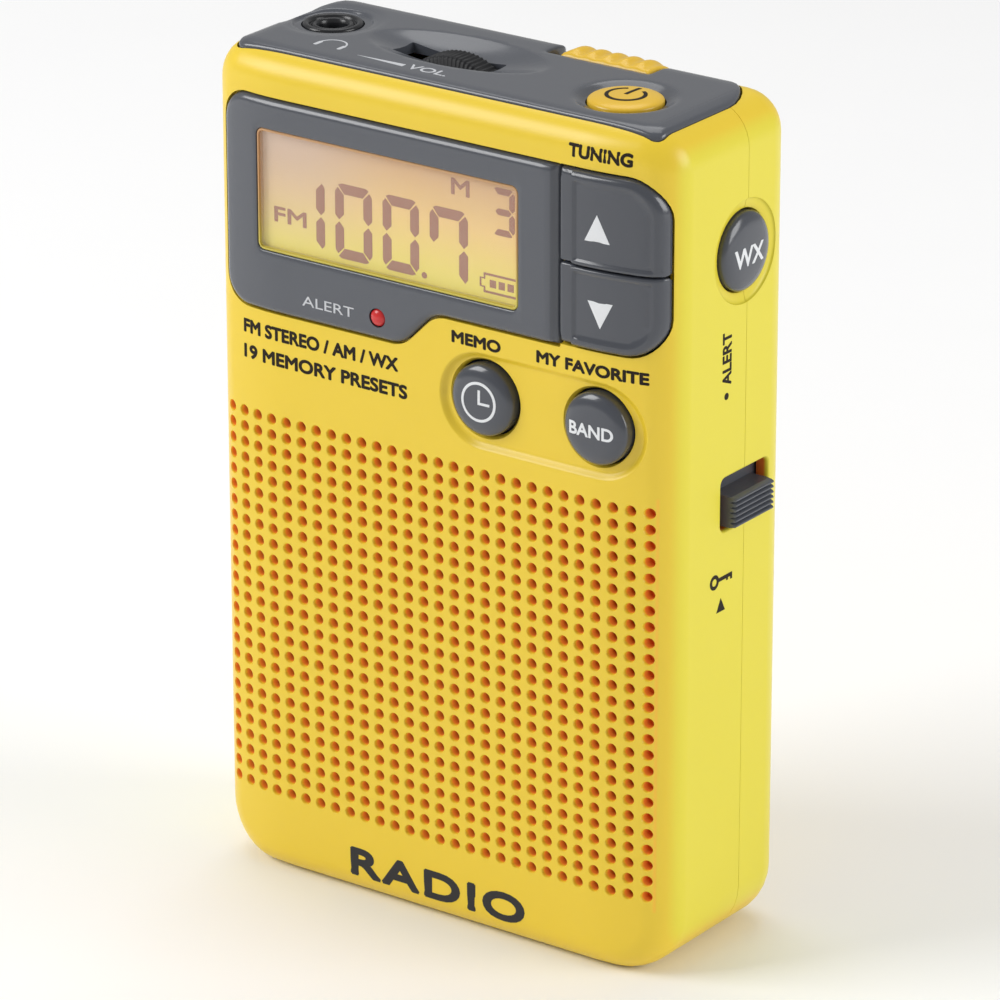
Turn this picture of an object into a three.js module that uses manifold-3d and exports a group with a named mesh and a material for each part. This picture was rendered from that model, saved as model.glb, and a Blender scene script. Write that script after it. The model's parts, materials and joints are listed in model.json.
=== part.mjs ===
// Portable weather-band pocket radio: yellow two-part case, grey top plate and display bezel.
// Millimetres, +Z up, front of the radio faces -Y, origin at the middle of the bottom face.

import * as THREE from "three";
import Module from "manifold-3d";

const wasm = await Module();
wasm.setup();

// ---------------------------------------------------------------- driving dimensions

// Case: width, depth and height of the yellow body.
const WIDTH = 71;
const DEPTH = 28;
const HEIGHT = 111.7;
const WALL = 1.8;
const EDGE_RADIUS = 4.5;
const BOTTOM_CORNER = 8;
const TOP_CORNER = 5.2;
const CROWN_START = 23.2;
const CROWN_RADIUS = 36;
const SEAM_FROM_FRONT = 17.5;
const SEAM_GAP = 0.2;
const CAVITY_TOP = 108;
const GAP = 0.2;

// Top plate.
const PLATE_HALF_WIDTH = 32.5;
const PLATE_FRONT = 2.5;
const PLATE_BACK = 26.2;
const PLATE_CORNERS = [2, 1.4, 9, 7];
const PLATE_PROUD = 0.3;
const PLATE_SEAT = 2;
const PLATE_LOW = 109.2;

// Display bezel and window.
const BEZEL_LEFT = -32.7;
const BEZEL_RIGHT = 19.7;
const BEZEL_TOP = 106;
const BEZEL_LOW = 77.8;
const BEZEL_STEP = 82.8;
const BEZEL_CORNER = 4;
const STEP_FROM = -5.99;
const STEP_TO = 2.49;
const STEP_CURVE = 4.2;
const LED_RADIUS = 1.1;
const BEZEL_PROUD = 0.5;
const BEZEL_SEAT = 0.9;
const WINDOW = { left: -26.7, right: 13.8, low: 86, high: 102.1 };

// Front keys.
const TUNING_LEFT = 19.9;
const TUNING_RIGHT = 34.3;
const TUNING_LOW = 83.3;
const TUNING_SPLIT = 93.9;
const TUNING_HIGH = 106;
const TUNING_CORNER = 5;
const TUNING_PROUD = 0.75;
const ROUND_KEY_RADIUS = 4.7;
const ROUND_KEY_Z = 73.1;
const MEMO_X = 8.1;
const BAND_X = 25.2;
const RECESS = { left: 1.7, right: 31.9, middle: 72.9, half: 6.15, depth: 0.8 };

// Side controls, measured back from the front face.
const WEATHER_FROM_FRONT = 17;
const WEATHER_Z = 93.4;
const WEATHER_RADIUS = 5.1;
const WEATHER_DISH = 6.7;
const LOCK_SLOT = { front: 12.4, back: 22.8, low: 57.8, high: 64.8, depth: 1.2 };
const LOCK_THUMB_HEIGHT = 4.4;
const LOCK_THUMB_MARGIN = { front: 1.1, back: 0.7 };

// Top controls.
const POWER_X = 21.4;
const POWER_FROM_FRONT = 11.5;
const POWER_RADIUS = 4.75;
const JACK_X = -26.8;
const JACK_FROM_FRONT = 15.9;
const JACK_BORE = 1.8;
const BUSH_RADIUS = 3.9;
const WHEEL_X = -5.7;
const WHEEL_RADIUS = 9;
const WHEEL_THICK = 3.4;
const WHEEL_Z = 102.9;
const WHEEL_SLOT = { left: -14.4, right: 0.2, half: 2.2 };
const MODE = { left: 4.9, right: 18.2, front: 20.7, free: 2.1, rise: 1 };

// Inside.
const BOARD_FRONT = -6.5;
const BOARD_THICK = 1.2;
const SWITCH_HEIGHT = 3;
const SPEAKER_Z = 38.5;
const SPEAKER_RADIUS = 18;
const CELL_RADIUS = 7.25;
const CELL_LENGTH = 49.5;
const CELL_NUB = 1;
const CELL_Y = 4.25;
const CELL_LOW_Z = 14;
const CELL_PITCH = 15;
const TUB = { half: 27.5, low: 6, high: 37, front: -3.2, wall: 0.8 };
const DOOR = { half: 28.3, low: 0.4, high: 42, thick: 1.5, travel: 3, tabs: [-16, 16] };
const SCREW_X = 31.2;
const SCREW_HEIGHTS = [9, 79.5];

const FRONT = -DEPTH / 2;
const BACK = DEPTH / 2;
const SEAM = FRONT + SEAM_FROM_FRONT;
const FAR = 60;

// ---------------------------------------------------------------- solid helpers

// Welds a three.js geometry into a closed solid and makes it face outward.
function solid(geometry) {
  const flat = geometry.index ? geometry.toNonIndexed() : geometry;
  const position = flat.attributes.position;
  const known = new Map();
  const points = [];
  const corners = [];
  for (let i = 0; i < position.count; i += 1) {
    const spot = [position.getX(i), position.getY(i), position.getZ(i)];
    const name = spot.map((value) => Math.round(value * 5000)).join(" ");
    if (!known.has(name)) {
      known.set(name, points.length / 3);
      points.push(...spot);
    }
    corners.push(known.get(name));
  }
  const triangles = [];
  let volume = 0;
  for (let i = 0; i < corners.length; i += 3) {
    const [a, b, c] = corners.slice(i, i + 3);
    if (a === b || b === c || c === a) {
      continue;
    }
    triangles.push(a, b, c);
    const [p, q, r] = [a, b, c].map((k) => new THREE.Vector3().fromArray(points, 3 * k));
    volume += p.dot(q.cross(r));
  }
  if (volume < 0) {
    triangles.reverse();
  }
  const mesh = new wasm.Mesh({
    numProp: 3,
    vertProperties: new Float32Array(points),
    triVerts: new Uint32Array(triangles),
  });
  return new wasm.Manifold(mesh);
}

function joined(...solids) {
  return solids.reduce((total, next) => total.add(next));
}

function cut(body, ...tools) {
  return tools.reduce((total, next) => total.subtract(next), body);
}

function common(...solids) {
  return solids.reduce((total, next) => total.intersect(next));
}

// Box between two opposite corners.
function box(x0, x1, y0, y1, z0, z1) {
  const geometry = new THREE.BoxGeometry(x1 - x0, y1 - y0, z1 - z0);
  geometry.translate((x0 + x1) / 2, (y0 + y1) / 2, (z0 + z1) / 2);
  return solid(geometry);
}

// Turns the local extrusion direction onto a world axis without mirroring.
const TURN = {
  x: new THREE.Matrix4().makeBasis(
    new THREE.Vector3(0, 1, 0), new THREE.Vector3(0, 0, 1), new THREE.Vector3(1, 0, 0)),
  y: new THREE.Matrix4().makeBasis(
    new THREE.Vector3(1, 0, 0), new THREE.Vector3(0, 0, 1), new THREE.Vector3(0, -1, 0)),
  z: new THREE.Matrix4(),
};

// Straight prism of a shape along an axis, between two positions on that axis.
function prism(shape, axis, from, to, curveSegments = 8) {
  const geometry = new THREE.ExtrudeGeometry(shape, {
    depth: to - from, bevelEnabled: false, curveSegments,
  });
  geometry.applyMatrix4(TURN[axis]);
  const shift = { x: [from, 0, 0], y: [0, to, 0], z: [0, 0, from] }[axis];
  geometry.translate(...shift);
  return solid(geometry);
}

// Turned body about an axis: profile pairs are radius and distance along the axis.
function turned(profile, axis, centre, segments = 24) {
  const points = profile.map(([radius, along]) => new THREE.Vector2(radius, along));
  const geometry = new THREE.LatheGeometry(points, segments);
  if (axis === "x") {
    geometry.rotateZ(-Math.PI / 2);
  }
  if (axis === "z") {
    geometry.rotateX(Math.PI / 2);
  }
  geometry.translate(...centre);
  return solid(geometry);
}

function disc(radius, axis, centre, from, to, segments = 24) {
  return turned([[0, from], [radius, from], [radius, to], [0, to]], axis, centre, segments);
}

// Rounded rectangle with its own radius at each corner, starting at the lower left.
function roundedShape(x0, x1, y0, y1, lowLeft, lowRight, highRight, highLeft) {
  const shape = new THREE.Shape();
  shape.moveTo(x0 + lowLeft, y0);
  shape.lineTo(x1 - lowRight, y0);
  if (lowRight > 0) {
    shape.absarc(x1 - lowRight, y0 + lowRight, lowRight, -Math.PI / 2, 0, false);
  }
  shape.lineTo(x1, y1 - highRight);
  if (highRight > 0) {
    shape.absarc(x1 - highRight, y1 - highRight, highRight, 0, Math.PI / 2, false);
  }
  shape.lineTo(x0 + highLeft, y1);
  if (highLeft > 0) {
    shape.absarc(x0 + highLeft, y1 - highLeft, highLeft, Math.PI / 2, Math.PI, false);
  }
  shape.lineTo(x0, y0 + lowLeft);
  if (lowLeft > 0) {
    shape.absarc(x0 + lowLeft, y0 + lowLeft, lowLeft, Math.PI, Math.PI * 1.5, false);
  }
  return shape;
}

function evenShape(x0, x1, y0, y1, radius) {
  return roundedShape(x0, x1, y0, y1, radius, radius, radius, radius);
}

// ---------------------------------------------------------------- case form

// The pillow-edged case body, shrunk by an inset (a negative inset grows it).
const formCache = new Map();

function caseForm(inset) {
  if (formCache.has(inset)) {
    return formCache.get(inset);
  }
  const edge = Math.max(EDGE_RADIUS - inset, 0.5);
  const reach = inset + edge;
  const low = Math.max(BOTTOM_CORNER - reach, 0.4);
  const high = Math.max(TOP_CORNER - reach, 0.4);
  const outline = roundedShape(
    -WIDTH / 2 + reach, WIDTH / 2 - reach, reach, HEIGHT - reach, low, low, high, high);
  const geometry = new THREE.ExtrudeGeometry(outline, {
    depth: DEPTH - 2 * reach,
    bevelEnabled: true,
    bevelThickness: edge,
    bevelSize: edge,
    bevelSegments: 4,
    curveSegments: 4,
  });
  geometry.applyMatrix4(TURN.y);
  geometry.translate(0, BACK - reach, 0);
  const form = common(solid(geometry), crownLimit(inset));
  formCache.set(inset, form);
  return form;
}

// Everything behind the crowned front face.
function crownLimit(inset) {
  const shape = new THREE.Shape();
  const front = FRONT + inset;
  const steps = 5;
  shape.moveTo(FAR, FAR);
  shape.lineTo(-FAR, FAR);
  shape.lineTo(-FAR, front + CROWN_RADIUS);
  for (let i = -steps; i <= steps; i += 1) {
    const away = Math.abs(i) / steps * (WIDTH / 2 + 1 - CROWN_START);
    const sag = CROWN_RADIUS - Math.sqrt(CROWN_RADIUS ** 2 - away ** 2);
    const side = i < 0 ? -1 : 1;
    if (i === 0) {
      shape.lineTo(-CROWN_START, front);
    }
    shape.lineTo(side * (CROWN_START + away), front + sag);
  }
  shape.lineTo(FAR, front + CROWN_RADIUS);
  return prism(shape, "z", -10, HEIGHT + 20);
}

// Pocket from outside the case down to an inset surface, inside a straight prism.
function pocket(tool, inset) {
  return cut(tool, caseForm(inset));
}

// ---------------------------------------------------------------- outlines

function bezelOutline(grow) {
  const left = BEZEL_LEFT - grow;
  const right = BEZEL_RIGHT + grow;
  const low = BEZEL_LOW - grow;
  const step = BEZEL_STEP - grow;
  const top = BEZEL_TOP + grow;
  const r = BEZEL_CORNER + grow;
  const shape = new THREE.Shape();
  shape.moveTo(left + r, low);
  shape.absarc(STEP_FROM, BEZEL_LOW + STEP_CURVE, STEP_CURVE + grow, -Math.PI / 2, -Math.PI / 4, false);
  shape.absarc(STEP_TO, BEZEL_STEP - STEP_CURVE, STEP_CURVE - grow, Math.PI * 0.75, Math.PI / 2, true);
  shape.lineTo(right, step);
  shape.lineTo(right, top);
  shape.lineTo(left + r, top);
  shape.absarc(left + r, top - r, r, Math.PI / 2, Math.PI, false);
  shape.lineTo(left, low + r);
  shape.absarc(left + r, low + r, r, Math.PI, Math.PI * 1.5, false);
  return shape;
}

function tuningOutline(low, high, lowCorner, highCorner, grow) {
  return roundedShape(
    TUNING_LEFT - grow, TUNING_RIGHT + grow, low - grow, high + grow,
    0, lowCorner && lowCorner + grow, highCorner && highCorner + grow, 0);
}

function plateOutline(grow) {
  return roundedShape(
    -PLATE_HALF_WIDTH - grow, PLATE_HALF_WIDTH + grow,
    FRONT + PLATE_FRONT - grow, FRONT + PLATE_BACK + grow, ...PLATE_CORNERS);
}

// ---------------------------------------------------------------- shared cuts

const weatherCentre = [0, FRONT + WEATHER_FROM_FRONT, WEATHER_Z];
const powerCentre = [POWER_X, FRONT + POWER_FROM_FRONT, 0];
const jackCentre = [JACK_X, FRONT + JACK_FROM_FRONT, 0];
const lockFront = FRONT + LOCK_SLOT.front;
const lockBack = FRONT + LOCK_SLOT.back;
const side = WIDTH / 2;
const modeFront = FRONT + MODE.front;
const plateSeat = pocket(prism(plateOutline(0.15), "z", PLATE_LOW - 0.1, 120), PLATE_SEAT);

const weatherCut = turned(
  [[0, 30], [WEATHER_RADIUS + GAP, 30], [WEATHER_RADIUS + GAP, side - 0.75],
    [WEATHER_RADIUS + 0.8, side - 0.6], [WEATHER_DISH, side], [WEATHER_DISH + 0.4, side + 1],
    [0, side + 1]], "x", weatherCentre, 32);

const lockCut = joined(
  box(side - LOCK_SLOT.depth, side + 2, lockFront, lockBack, LOCK_SLOT.low, LOCK_SLOT.high),
  box(side - 4, side, 1.6, 5.4, LOCK_SLOT.low + 0.9, LOCK_SLOT.high - 0.9));

const jackCut = disc(BUSH_RADIUS + 0.25, "z", jackCentre, 100, 120);
const powerCut = disc(POWER_RADIUS + GAP, "z", powerCentre, 100, 120);

const wheelCut = box(
  WHEEL_SLOT.left, WHEEL_SLOT.right, -WHEEL_SLOT.half, WHEEL_SLOT.half, 100, 120);
const wheelWell = box(
  WHEEL_X - WHEEL_RADIUS, WHEEL_X + WHEEL_RADIUS, -WHEEL_SLOT.half, WHEEL_SLOT.half, 100, 109.75);

// Channel for the slide switch over the top rear edge.
const modeLeft = MODE.left - MODE.free;
const modeSeatTool = box(modeLeft, MODE.right + 0.25, modeFront, BACK + 5, 104, 120);
const modeSeat = cut(modeSeatTool, caseForm(1));
const modeStemCut = box(8, 14.2, 8, 11.2, 100, 120);

function screwPlaces() {
  const places = [];
  for (const height of SCREW_HEIGHTS) {
    places.push([-SCREW_X, 0, height]);
    places.push([SCREW_X, 0, height]);
  }
  return places;
}

// ---------------------------------------------------------------- case halves

const cavity = common(caseForm(WALL), box(-FAR, FAR, -FAR, FAR, 0, CAVITY_TOP));
const shell = cut(caseForm(0), cavity, plateSeat, weatherCut, lockCut, jackCut, powerCut,
  wheelWell, modeSeat, modeStemCut);

function frontCase() {
  let body = common(shell, box(-FAR, FAR, -FAR, SEAM - SEAM_GAP / 2, -5, FAR * 3));
  const speakerWall = cut(
    disc(SPEAKER_RADIUS + 1.6, "y", [0, 0, SPEAKER_Z], -12.6, -9.4, 28),
    disc(SPEAKER_RADIUS + 0.4, "y", [0, 0, SPEAKER_Z], -13, -9, 28));
  body = joined(body, speakerWall);
  for (const place of screwPlaces()) {
    body = joined(body, disc(2.2, "y", place, FRONT + 1.6, SEAM - 0.4, 12));
  }
  body = cut(
    body,
    pocket(prism(bezelOutline(0.15), "y", FRONT - 3, FRONT + 4), BEZEL_SEAT + 0.05),
    box(WINDOW.left - 0.9, WINDOW.right + 0.9, FRONT - 1, FRONT + 4,
      WINDOW.low - 0.9, WINDOW.high + 0.9),
    prism(tuningOutline(TUNING_LOW, TUNING_HIGH, TUNING_CORNER, TUNING_CORNER, GAP),
      "y", FRONT - 3, FRONT + 3.3),
    pocket(prism(evenShape(RECESS.left, RECESS.right, RECESS.middle - RECESS.half,
      RECESS.middle + RECESS.half, RECESS.half - 0.01), "y", FRONT - 3, FRONT + 4), RECESS.depth),
    disc(LED_RADIUS + 0.2, "y", [-7.55, 0, 80.8], FRONT - 1, FRONT + 4, 16));
  for (const x of [MEMO_X, BAND_X]) {
    body = cut(body, disc(ROUND_KEY_RADIUS + GAP, "y", [x, 0, ROUND_KEY_Z], FRONT - 1, FRONT + 4));
  }
  for (const place of screwPlaces()) {
    body = cut(body, disc(1.25, "y", place, -5, SEAM + 1, 12));
  }
  return body;
}

const doorTool = (grow) => prism(
  evenShape(-DOOR.half - grow, DOOR.half + grow, -10, DOOR.high + grow, 1.2),
  "y", 9.9 - grow, BACK + 4);

function rearCase() {
  let body = common(shell, box(-FAR, FAR, SEAM + SEAM_GAP / 2, FAR, -5, FAR * 3));
  const t = TUB.wall;
  body = joined(body, box(-TUB.half - t, TUB.half + t, TUB.front - t, 12.3, TUB.low - t, TUB.high + t));
  for (const place of screwPlaces()) {
    body = joined(body, common(disc(3, "y", place, SEAM + 0.3, BACK - 1, 16), caseForm(0.5)));
  }
  body = joined(body, box(-29.8, 29.8, 11.2, 12.4, TUB.low - t, DOOR.high + 1.9));
  // Rim that the door closes against, then the openings.
  body = cut(
    body,
    doorTool(GAP).subtract(box(-FAR, FAR, -FAR, 12.4, TUB.low - t, FAR)),
    box(-TUB.half, TUB.half, TUB.front, BACK + 1, TUB.low, TUB.high));
  for (const x of DOOR.tabs) {
    body = cut(body, box(x - 4.3, x + 4.3, 11, 12.6, TUB.high + 1, DOOR.high + 2),
      box(x - 4.3, x + 4.3, 11, 12.2, TUB.high + 1, DOOR.high + 3));
  }
  for (const place of screwPlaces()) {
    body = cut(
      body,
      disc(1.35, "y", place, SEAM - 1, BACK + 1, 12),
      disc(2.35, "y", place, BACK - 2.2, BACK + 1, 16));
  }
  return body;
}

// ---------------------------------------------------------------- outer trim

function topPlate() {
  const slab = cut(
    common(prism(plateOutline(0), "z", PLATE_LOW, 120), caseForm(-PLATE_PROUD)),
    caseForm(PLATE_SEAT - 0.1));
  const scoop = new THREE.SphereGeometry(1, 28, 12);
  scoop.scale(12.5, 5.4, 1.5);
  scoop.translate(-6.2, 0, HEIGHT + 0.4);
  const jackDish = turned(
    [[0, 109.9], [4, 109.9], [4, 111.1], [4.7, 111.15], [5.2, 111.8], [5.25, 115], [0, 115]],
    "z", jackCentre, 28);
  const powerDish = turned(
    [[0, 100], [POWER_RADIUS + GAP, 100], [POWER_RADIUS + GAP, 111.3], [6.2, 112], [6.6, 115],
      [0, 115]], "z", powerCentre, 28);
  const notch = box(modeLeft, MODE.right + 0.25, modeFront, BACK + 5, 100, 120);
  return cut(slab, solid(scoop), wheelCut, jackDish, jackCut, powerDish, notch);
}

function displayBezel() {
  const tool = prism(bezelOutline(0), "y", FRONT - 3, FRONT + 4);
  const plate = cut(common(tool, caseForm(-BEZEL_PROUD)), caseForm(BEZEL_SEAT - 0.05));
  return cut(
    plate,
    prism(evenShape(WINDOW.left, WINDOW.right, WINDOW.low, WINDOW.high, 1), "y", FRONT - 3, FRONT + 3),
    box(WINDOW.left - 0.9, WINDOW.right + 0.9, FRONT + 0.05, FRONT + 3,
      WINDOW.low - 0.9, WINDOW.high + 0.9),
    disc(LED_RADIUS + 0.15, "y", [-7.55, 0, 80.8], FRONT - 3, FRONT + 3, 16));
}

function displayLens() {
  return box(WINDOW.left - 0.7, WINDOW.right + 0.7, FRONT + 0.15, FRONT + 1,
    WINDOW.low - 0.7, WINDOW.high + 0.7);
}

// ---------------------------------------------------------------- keys and sliders

function tuningKey(low, high, lowCorner, highCorner) {
  const tool = prism(
    tuningOutline(low, high, lowCorner, highCorner, 0), "y", FRONT - 3, FRONT + 2.4);
  const cap = cut(common(tool, caseForm(-TUNING_PROUD)), caseForm(WALL - 0.1));
  const middle = (low + high) / 2;
  const flange = common(
    caseForm(WALL + 0.4),
    box(TUNING_LEFT - 0.9, 31.5, FRONT, FRONT + 3.4, low + 0.4, high - 0.4));
  const stem = box(24.6, 28, FRONT + 1.2, FRONT + 3.8, middle - 1.7, middle + 1.7);
  const link = common(
    box(TUNING_LEFT + 1, 30.5, FRONT + 1, FRONT + 3, low + 1.6, high - 1.6), caseForm(WALL - 0.6));
  return joined(cap, link, flange, stem);
}

// Domed round key with a rim, a hidden flange and a stem that reaches for its switch.
function keyProfile(radius, foot, flange, face, rise) {
  return [
    [0, foot], [1.6, foot], [1.6, flange], [radius + 0.55, flange],
    [radius + 0.55, flange + 0.7], [radius, flange + 0.7], [radius, face - 0.65],
    [radius - 0.2, face - 0.2], [radius - 0.65, face], [radius * 0.55, face + rise * 0.7],
    [0, face + rise],
  ];
}

function frontKey(x) {
  const profile = keyProfile(ROUND_KEY_RADIUS, 10.2, 10.4, 14.45, 0.75);
  const key = turned(profile.map(([r, h]) => [r, -h]), "y", [x, 0, ROUND_KEY_Z]);
  return key;
}

function weatherKey() {
  return turned(keyProfile(WEATHER_RADIUS, 31, 32.2, 36, 0.7), "x", weatherCentre);
}

function powerKey() {
  return turned(keyProfile(POWER_RADIUS, 105.9, 107, 112, 0.45), "z", powerCentre);
}

function volumeWheel() {
  const shape = new THREE.Shape();
  const teeth = 36;
  for (let i = 0; i <= 2 * teeth; i += 1) {
    const angle = i * Math.PI / teeth;
    const radius = i % 2 === 0 ? WHEEL_RADIUS - 0.3 : WHEEL_RADIUS - 0.75;
    const method = i === 0 ? "moveTo" : "lineTo";
    shape[method](radius * Math.cos(angle), radius * Math.sin(angle));
  }
  const geometry = new THREE.ExtrudeGeometry(shape, {
    depth: WHEEL_THICK - 0.6, bevelEnabled: true, bevelThickness: 0.3, bevelSize: 0.3, bevelSegments: 1,
  });
  geometry.applyMatrix4(TURN.y);
  geometry.translate(WHEEL_X, WHEEL_THICK / 2 - 0.3, WHEEL_Z);
  const centre = [WHEEL_X, 0, WHEEL_Z];
  return cut(
    solid(geometry),
    disc(1.7, "y", centre, -4, 4, 24),
    cut(disc(6.6, "y", centre, -4, -1), disc(3, "y", centre, -4, -1)));
}

function lockSlider() {
  const low = LOCK_SLOT.low + 0.2;
  const high = low + LOCK_THUMB_HEIGHT;
  const outer = side + 1.5;
  const ribs = 6;
  const pitch = (LOCK_THUMB_HEIGHT - 0.4) / ribs;
  const shape = new THREE.Shape();
  shape.moveTo(side - 1, low);
  shape.lineTo(outer - 0.5, low);
  for (let i = 0; i < ribs; i += 1) {
    const z = low + 0.2 + i * pitch;
    shape.lineTo(outer - 0.4, z);
    shape.lineTo(outer, z + 0.16);
    shape.lineTo(outer, z + pitch - 0.16);
    shape.lineTo(outer - 0.4, z + pitch);
  }
  shape.lineTo(outer - 0.5, high);
  shape.lineTo(side - 1, high);
  const back = lockBack - LOCK_THUMB_MARGIN.back;
  const length = back - lockFront - LOCK_THUMB_MARGIN.front;
  const geometry = new THREE.ExtrudeGeometry(shape, { depth: length, bevelEnabled: false });
  geometry.applyMatrix4(TURN.y);
  geometry.translate(0, back, 0);
  const stem = box(30.8, side - 0.9, 2, 5, low + 1.3, low + 3.1);
  const bar = box(32.4, 33.2, 0.8, 6.2, low + 1, low + 3.4);
  return joined(solid(geometry), stem, bar);
}

function modeSlider() {
  const tool = box(MODE.left, MODE.right, modeFront + 0.25, BACK + 5, 105, 120);
  let body = cut(common(tool, caseForm(-MODE.rise + 0.35)), caseForm(0.85));
  const ridges = 5;
  const pitch = (MODE.right - MODE.left) / ridges;
  const grown = common(tool, caseForm(-MODE.rise));
  for (let i = 0; i < ridges; i += 1) {
    const x = MODE.left + (i + 0.5) * pitch;
    body = joined(body, cut(common(grown, box(x - 0.75, x + 0.75, 0, FAR, 100, 120)), caseForm(0.5)));
  }
  const stem = box(10.4, 13.7, 8.3, 10.9, 105.2, 111);
  return joined(body, stem);
}

function batteryDoor() {
  const cover = cut(
    common(doorTool(0), caseForm(0), box(-FAR, FAR, -FAR, FAR, DOOR.low, FAR)),
    caseForm(DOOR.thick));
  const tabs = DOOR.tabs.map((x) => box(x - 4, x + 4, 11.4, 12.7, DOOR.high - 0.8, DOOR.high + 1.7));
  const clear = box(-FAR, FAR, 12, FAR, DOOR.high, FAR);
  const ridges = [0, 1, 2].map((i) => box(-7 + i, 7 - i, 13.5, 14.4, 36.2 - 1.6 * i, 37 - 1.6 * i));
  return joined(cover, ...tabs.map((tab) => cut(tab, clear)), ...ridges);
}

// ---------------------------------------------------------------- inside parts

// Press switch: square body and round button, pressed along the named axis.
function pressSwitch(axis, sign, centre, seat) {
  const half = 3;
  const [x, y, z] = centre;
  const top = seat + sign * (SWITCH_HEIGHT - 0.8);
  const low = Math.min(seat, top);
  const high = Math.max(seat, top);
  const bodies = {
    x: () => box(low, high, y - half, y + half, z - half, z + half),
    y: () => box(x - half, x + half, low, high, z - half, z + half),
    z: () => box(x - half, x + half, y - half, y + half, low, high),
  };
  const origin = { x: [0, y, z], y: [x, 0, z], z: [x, y, 0] }[axis];
  const tip = seat + sign * SWITCH_HEIGHT;
  const button = disc(1.7, axis, origin, Math.min(seat, tip), Math.max(seat, tip), 20);
  return joined(bodies[axis](), button);
}

function displayHolder() {
  const x0 = WINDOW.left - 2.8;
  const x1 = WINDOW.right + 2.6;
  const ring = box(x0, x1, -11.35, -7.5, 83.4, 105);
  return cut(
    ring,
    box(x0 + 1, x1 - 1, -13, -8.2, 84.3, 104),
    box(x0 + 3, x1 - 3, -9, -7, 84.3, 101.5));
}

function speakerFrame() {
  const profile = [
    [16.2, -11.8], [18, -11.8], [18, -11], [16.9, -11], [10.4, -6.9], [10.4, -6.3], [4.3, -6.3],
    [4.3, -7], [9.6, -7], [15.6, -11], [16.2, -11],
  ];
  return turned([...profile, profile[0]], "y", [0, 0, SPEAKER_Z], 28);
}

function speakerCone() {
  const profile = [
    [0, -10.4], [2.4, -10.1], [4.1, -8.9], [14.6, -11.1], [15.9, -11.3],
    [15.9, -11.1], [15.2, -11.05], [14.3, -10.85], [4, -8.5], [2.2, -9.8], [0, -10.1],
  ];
  return turned(profile, "y", [0, 0, SPEAKER_Z], 28);
}

function batteryCell(z, direction) {
  const reach = CELL_LENGTH + CELL_NUB;
  const start = -(TUB.half - 0.5) * direction;
  const end = (amount) => -start - direction * (reach - amount);
  const pairs = [
    [0, 0], [CELL_RADIUS - 0.8, 0], [CELL_RADIUS, 0.8], [CELL_RADIUS, CELL_LENGTH - 0.8],
    [CELL_RADIUS - 0.8, CELL_LENGTH], [2.75, CELL_LENGTH], [2.75, reach], [0, reach],
  ];
  return turned(pairs.map(([r, h]) => [r, end(h)]), "x", [0, CELL_Y, z], 24);
}

// Flat contact with a wound spring that pushes on the base of a cell.
function contactSpring(z, direction) {
  const wallX = -direction * TUB.half;
  const plate = contactPlate(z, -direction);
  const turns = 3.5;
  const length = 3.3;
  const points = [];
  for (let i = 0; i <= turns * 10; i += 1) {
    const part = i / (turns * 10);
    const angle = part * turns * 2 * Math.PI;
    const radius = 4 - 1.2 * part;
    points.push(new THREE.Vector3(
      wallX + direction * (0.35 + part * (length - 0.5)),
      CELL_Y + radius * Math.cos(angle), z + radius * Math.sin(angle)));
  }
  const wire = new THREE.Shape();
  wire.absarc(0, 0, 0.32, 0, 2 * Math.PI, false);
  const coil = new THREE.ExtrudeGeometry(wire, {
    steps: turns * 10, extrudePath: new THREE.CatmullRomCurve3(points), curveSegments: 3,
  });
  return joined(plate, solid(coil));
}

function contactPlate(z, direction) {
  const wallX = direction * TUB.half;
  const inner = wallX - direction * 0.4;
  const outer = wallX - direction * 0.05;
  return box(Math.min(inner, outer), Math.max(inner, outer), CELL_Y - 5, CELL_Y + 5, z - 5, z + 5);
}

function caseScrew([x, , z]) {
  const head = BACK - 2.15;
  const profile = [
    [0, -3.5], [0.7, -3.5], [1.1, -2.6], [1.1, head], [2.1, head], [2.1, head + 0.9], [1.5, head + 1.4],
    [0, head + 1.5],
  ];
  const cross = joined(
    box(x - 1.3, x + 1.3, head + 0.6, BACK, z - 0.25, z + 0.25),
    box(x - 0.25, x + 0.25, head + 0.6, BACK, z - 1.3, z + 1.3));
  return cut(turned(profile, "y", [x, 0, z], 12), cross);
}

function volumePot() {
  const body = box(WHEEL_X - 5.5, WHEEL_X + 5.5, -5.2, -2.1, WHEEL_Z - 6, WHEEL_Z + 3.8);
  const shaft = disc(1.5, "y", [WHEEL_X, 0, WHEEL_Z], -3, 2.1, 24);
  return joined(body, shaft);
}

function headphoneJack() {
  const [x, y] = jackCentre;
  const body = box(x - 3.5, x + 3.5, y - 3.5, y + 3.5, 97, 107.7);
  return cut(body, disc(JACK_BORE, "z", jackCentre, 98, 112, 24));
}

function jackBushing() {
  const profile = [
    [JACK_BORE, 107.8], [BUSH_RADIUS, 107.8], [BUSH_RADIUS, 111], [BUSH_RADIUS - 0.4, 111.4],
    [2.7, 111.4], [2.2, 110.9], [JACK_BORE, 110.6],
  ];
  return turned([...profile, profile[0]], "z", jackCentre, 24);
}

function mainBoard() {
  const board = prism(evenShape(-28.2, 28.2, 66, 105.7, 1), "y", BOARD_FRONT, BOARD_FRONT + BOARD_THICK);
  return cut(
    board,
    disc(1.2, "y", [-25.4, 0, 68.6], -9, 0, 12),
    disc(1.2, "y", [-2, 0, 68.6], -9, 0, 12));
}

// ---------------------------------------------------------------- assembly

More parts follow.
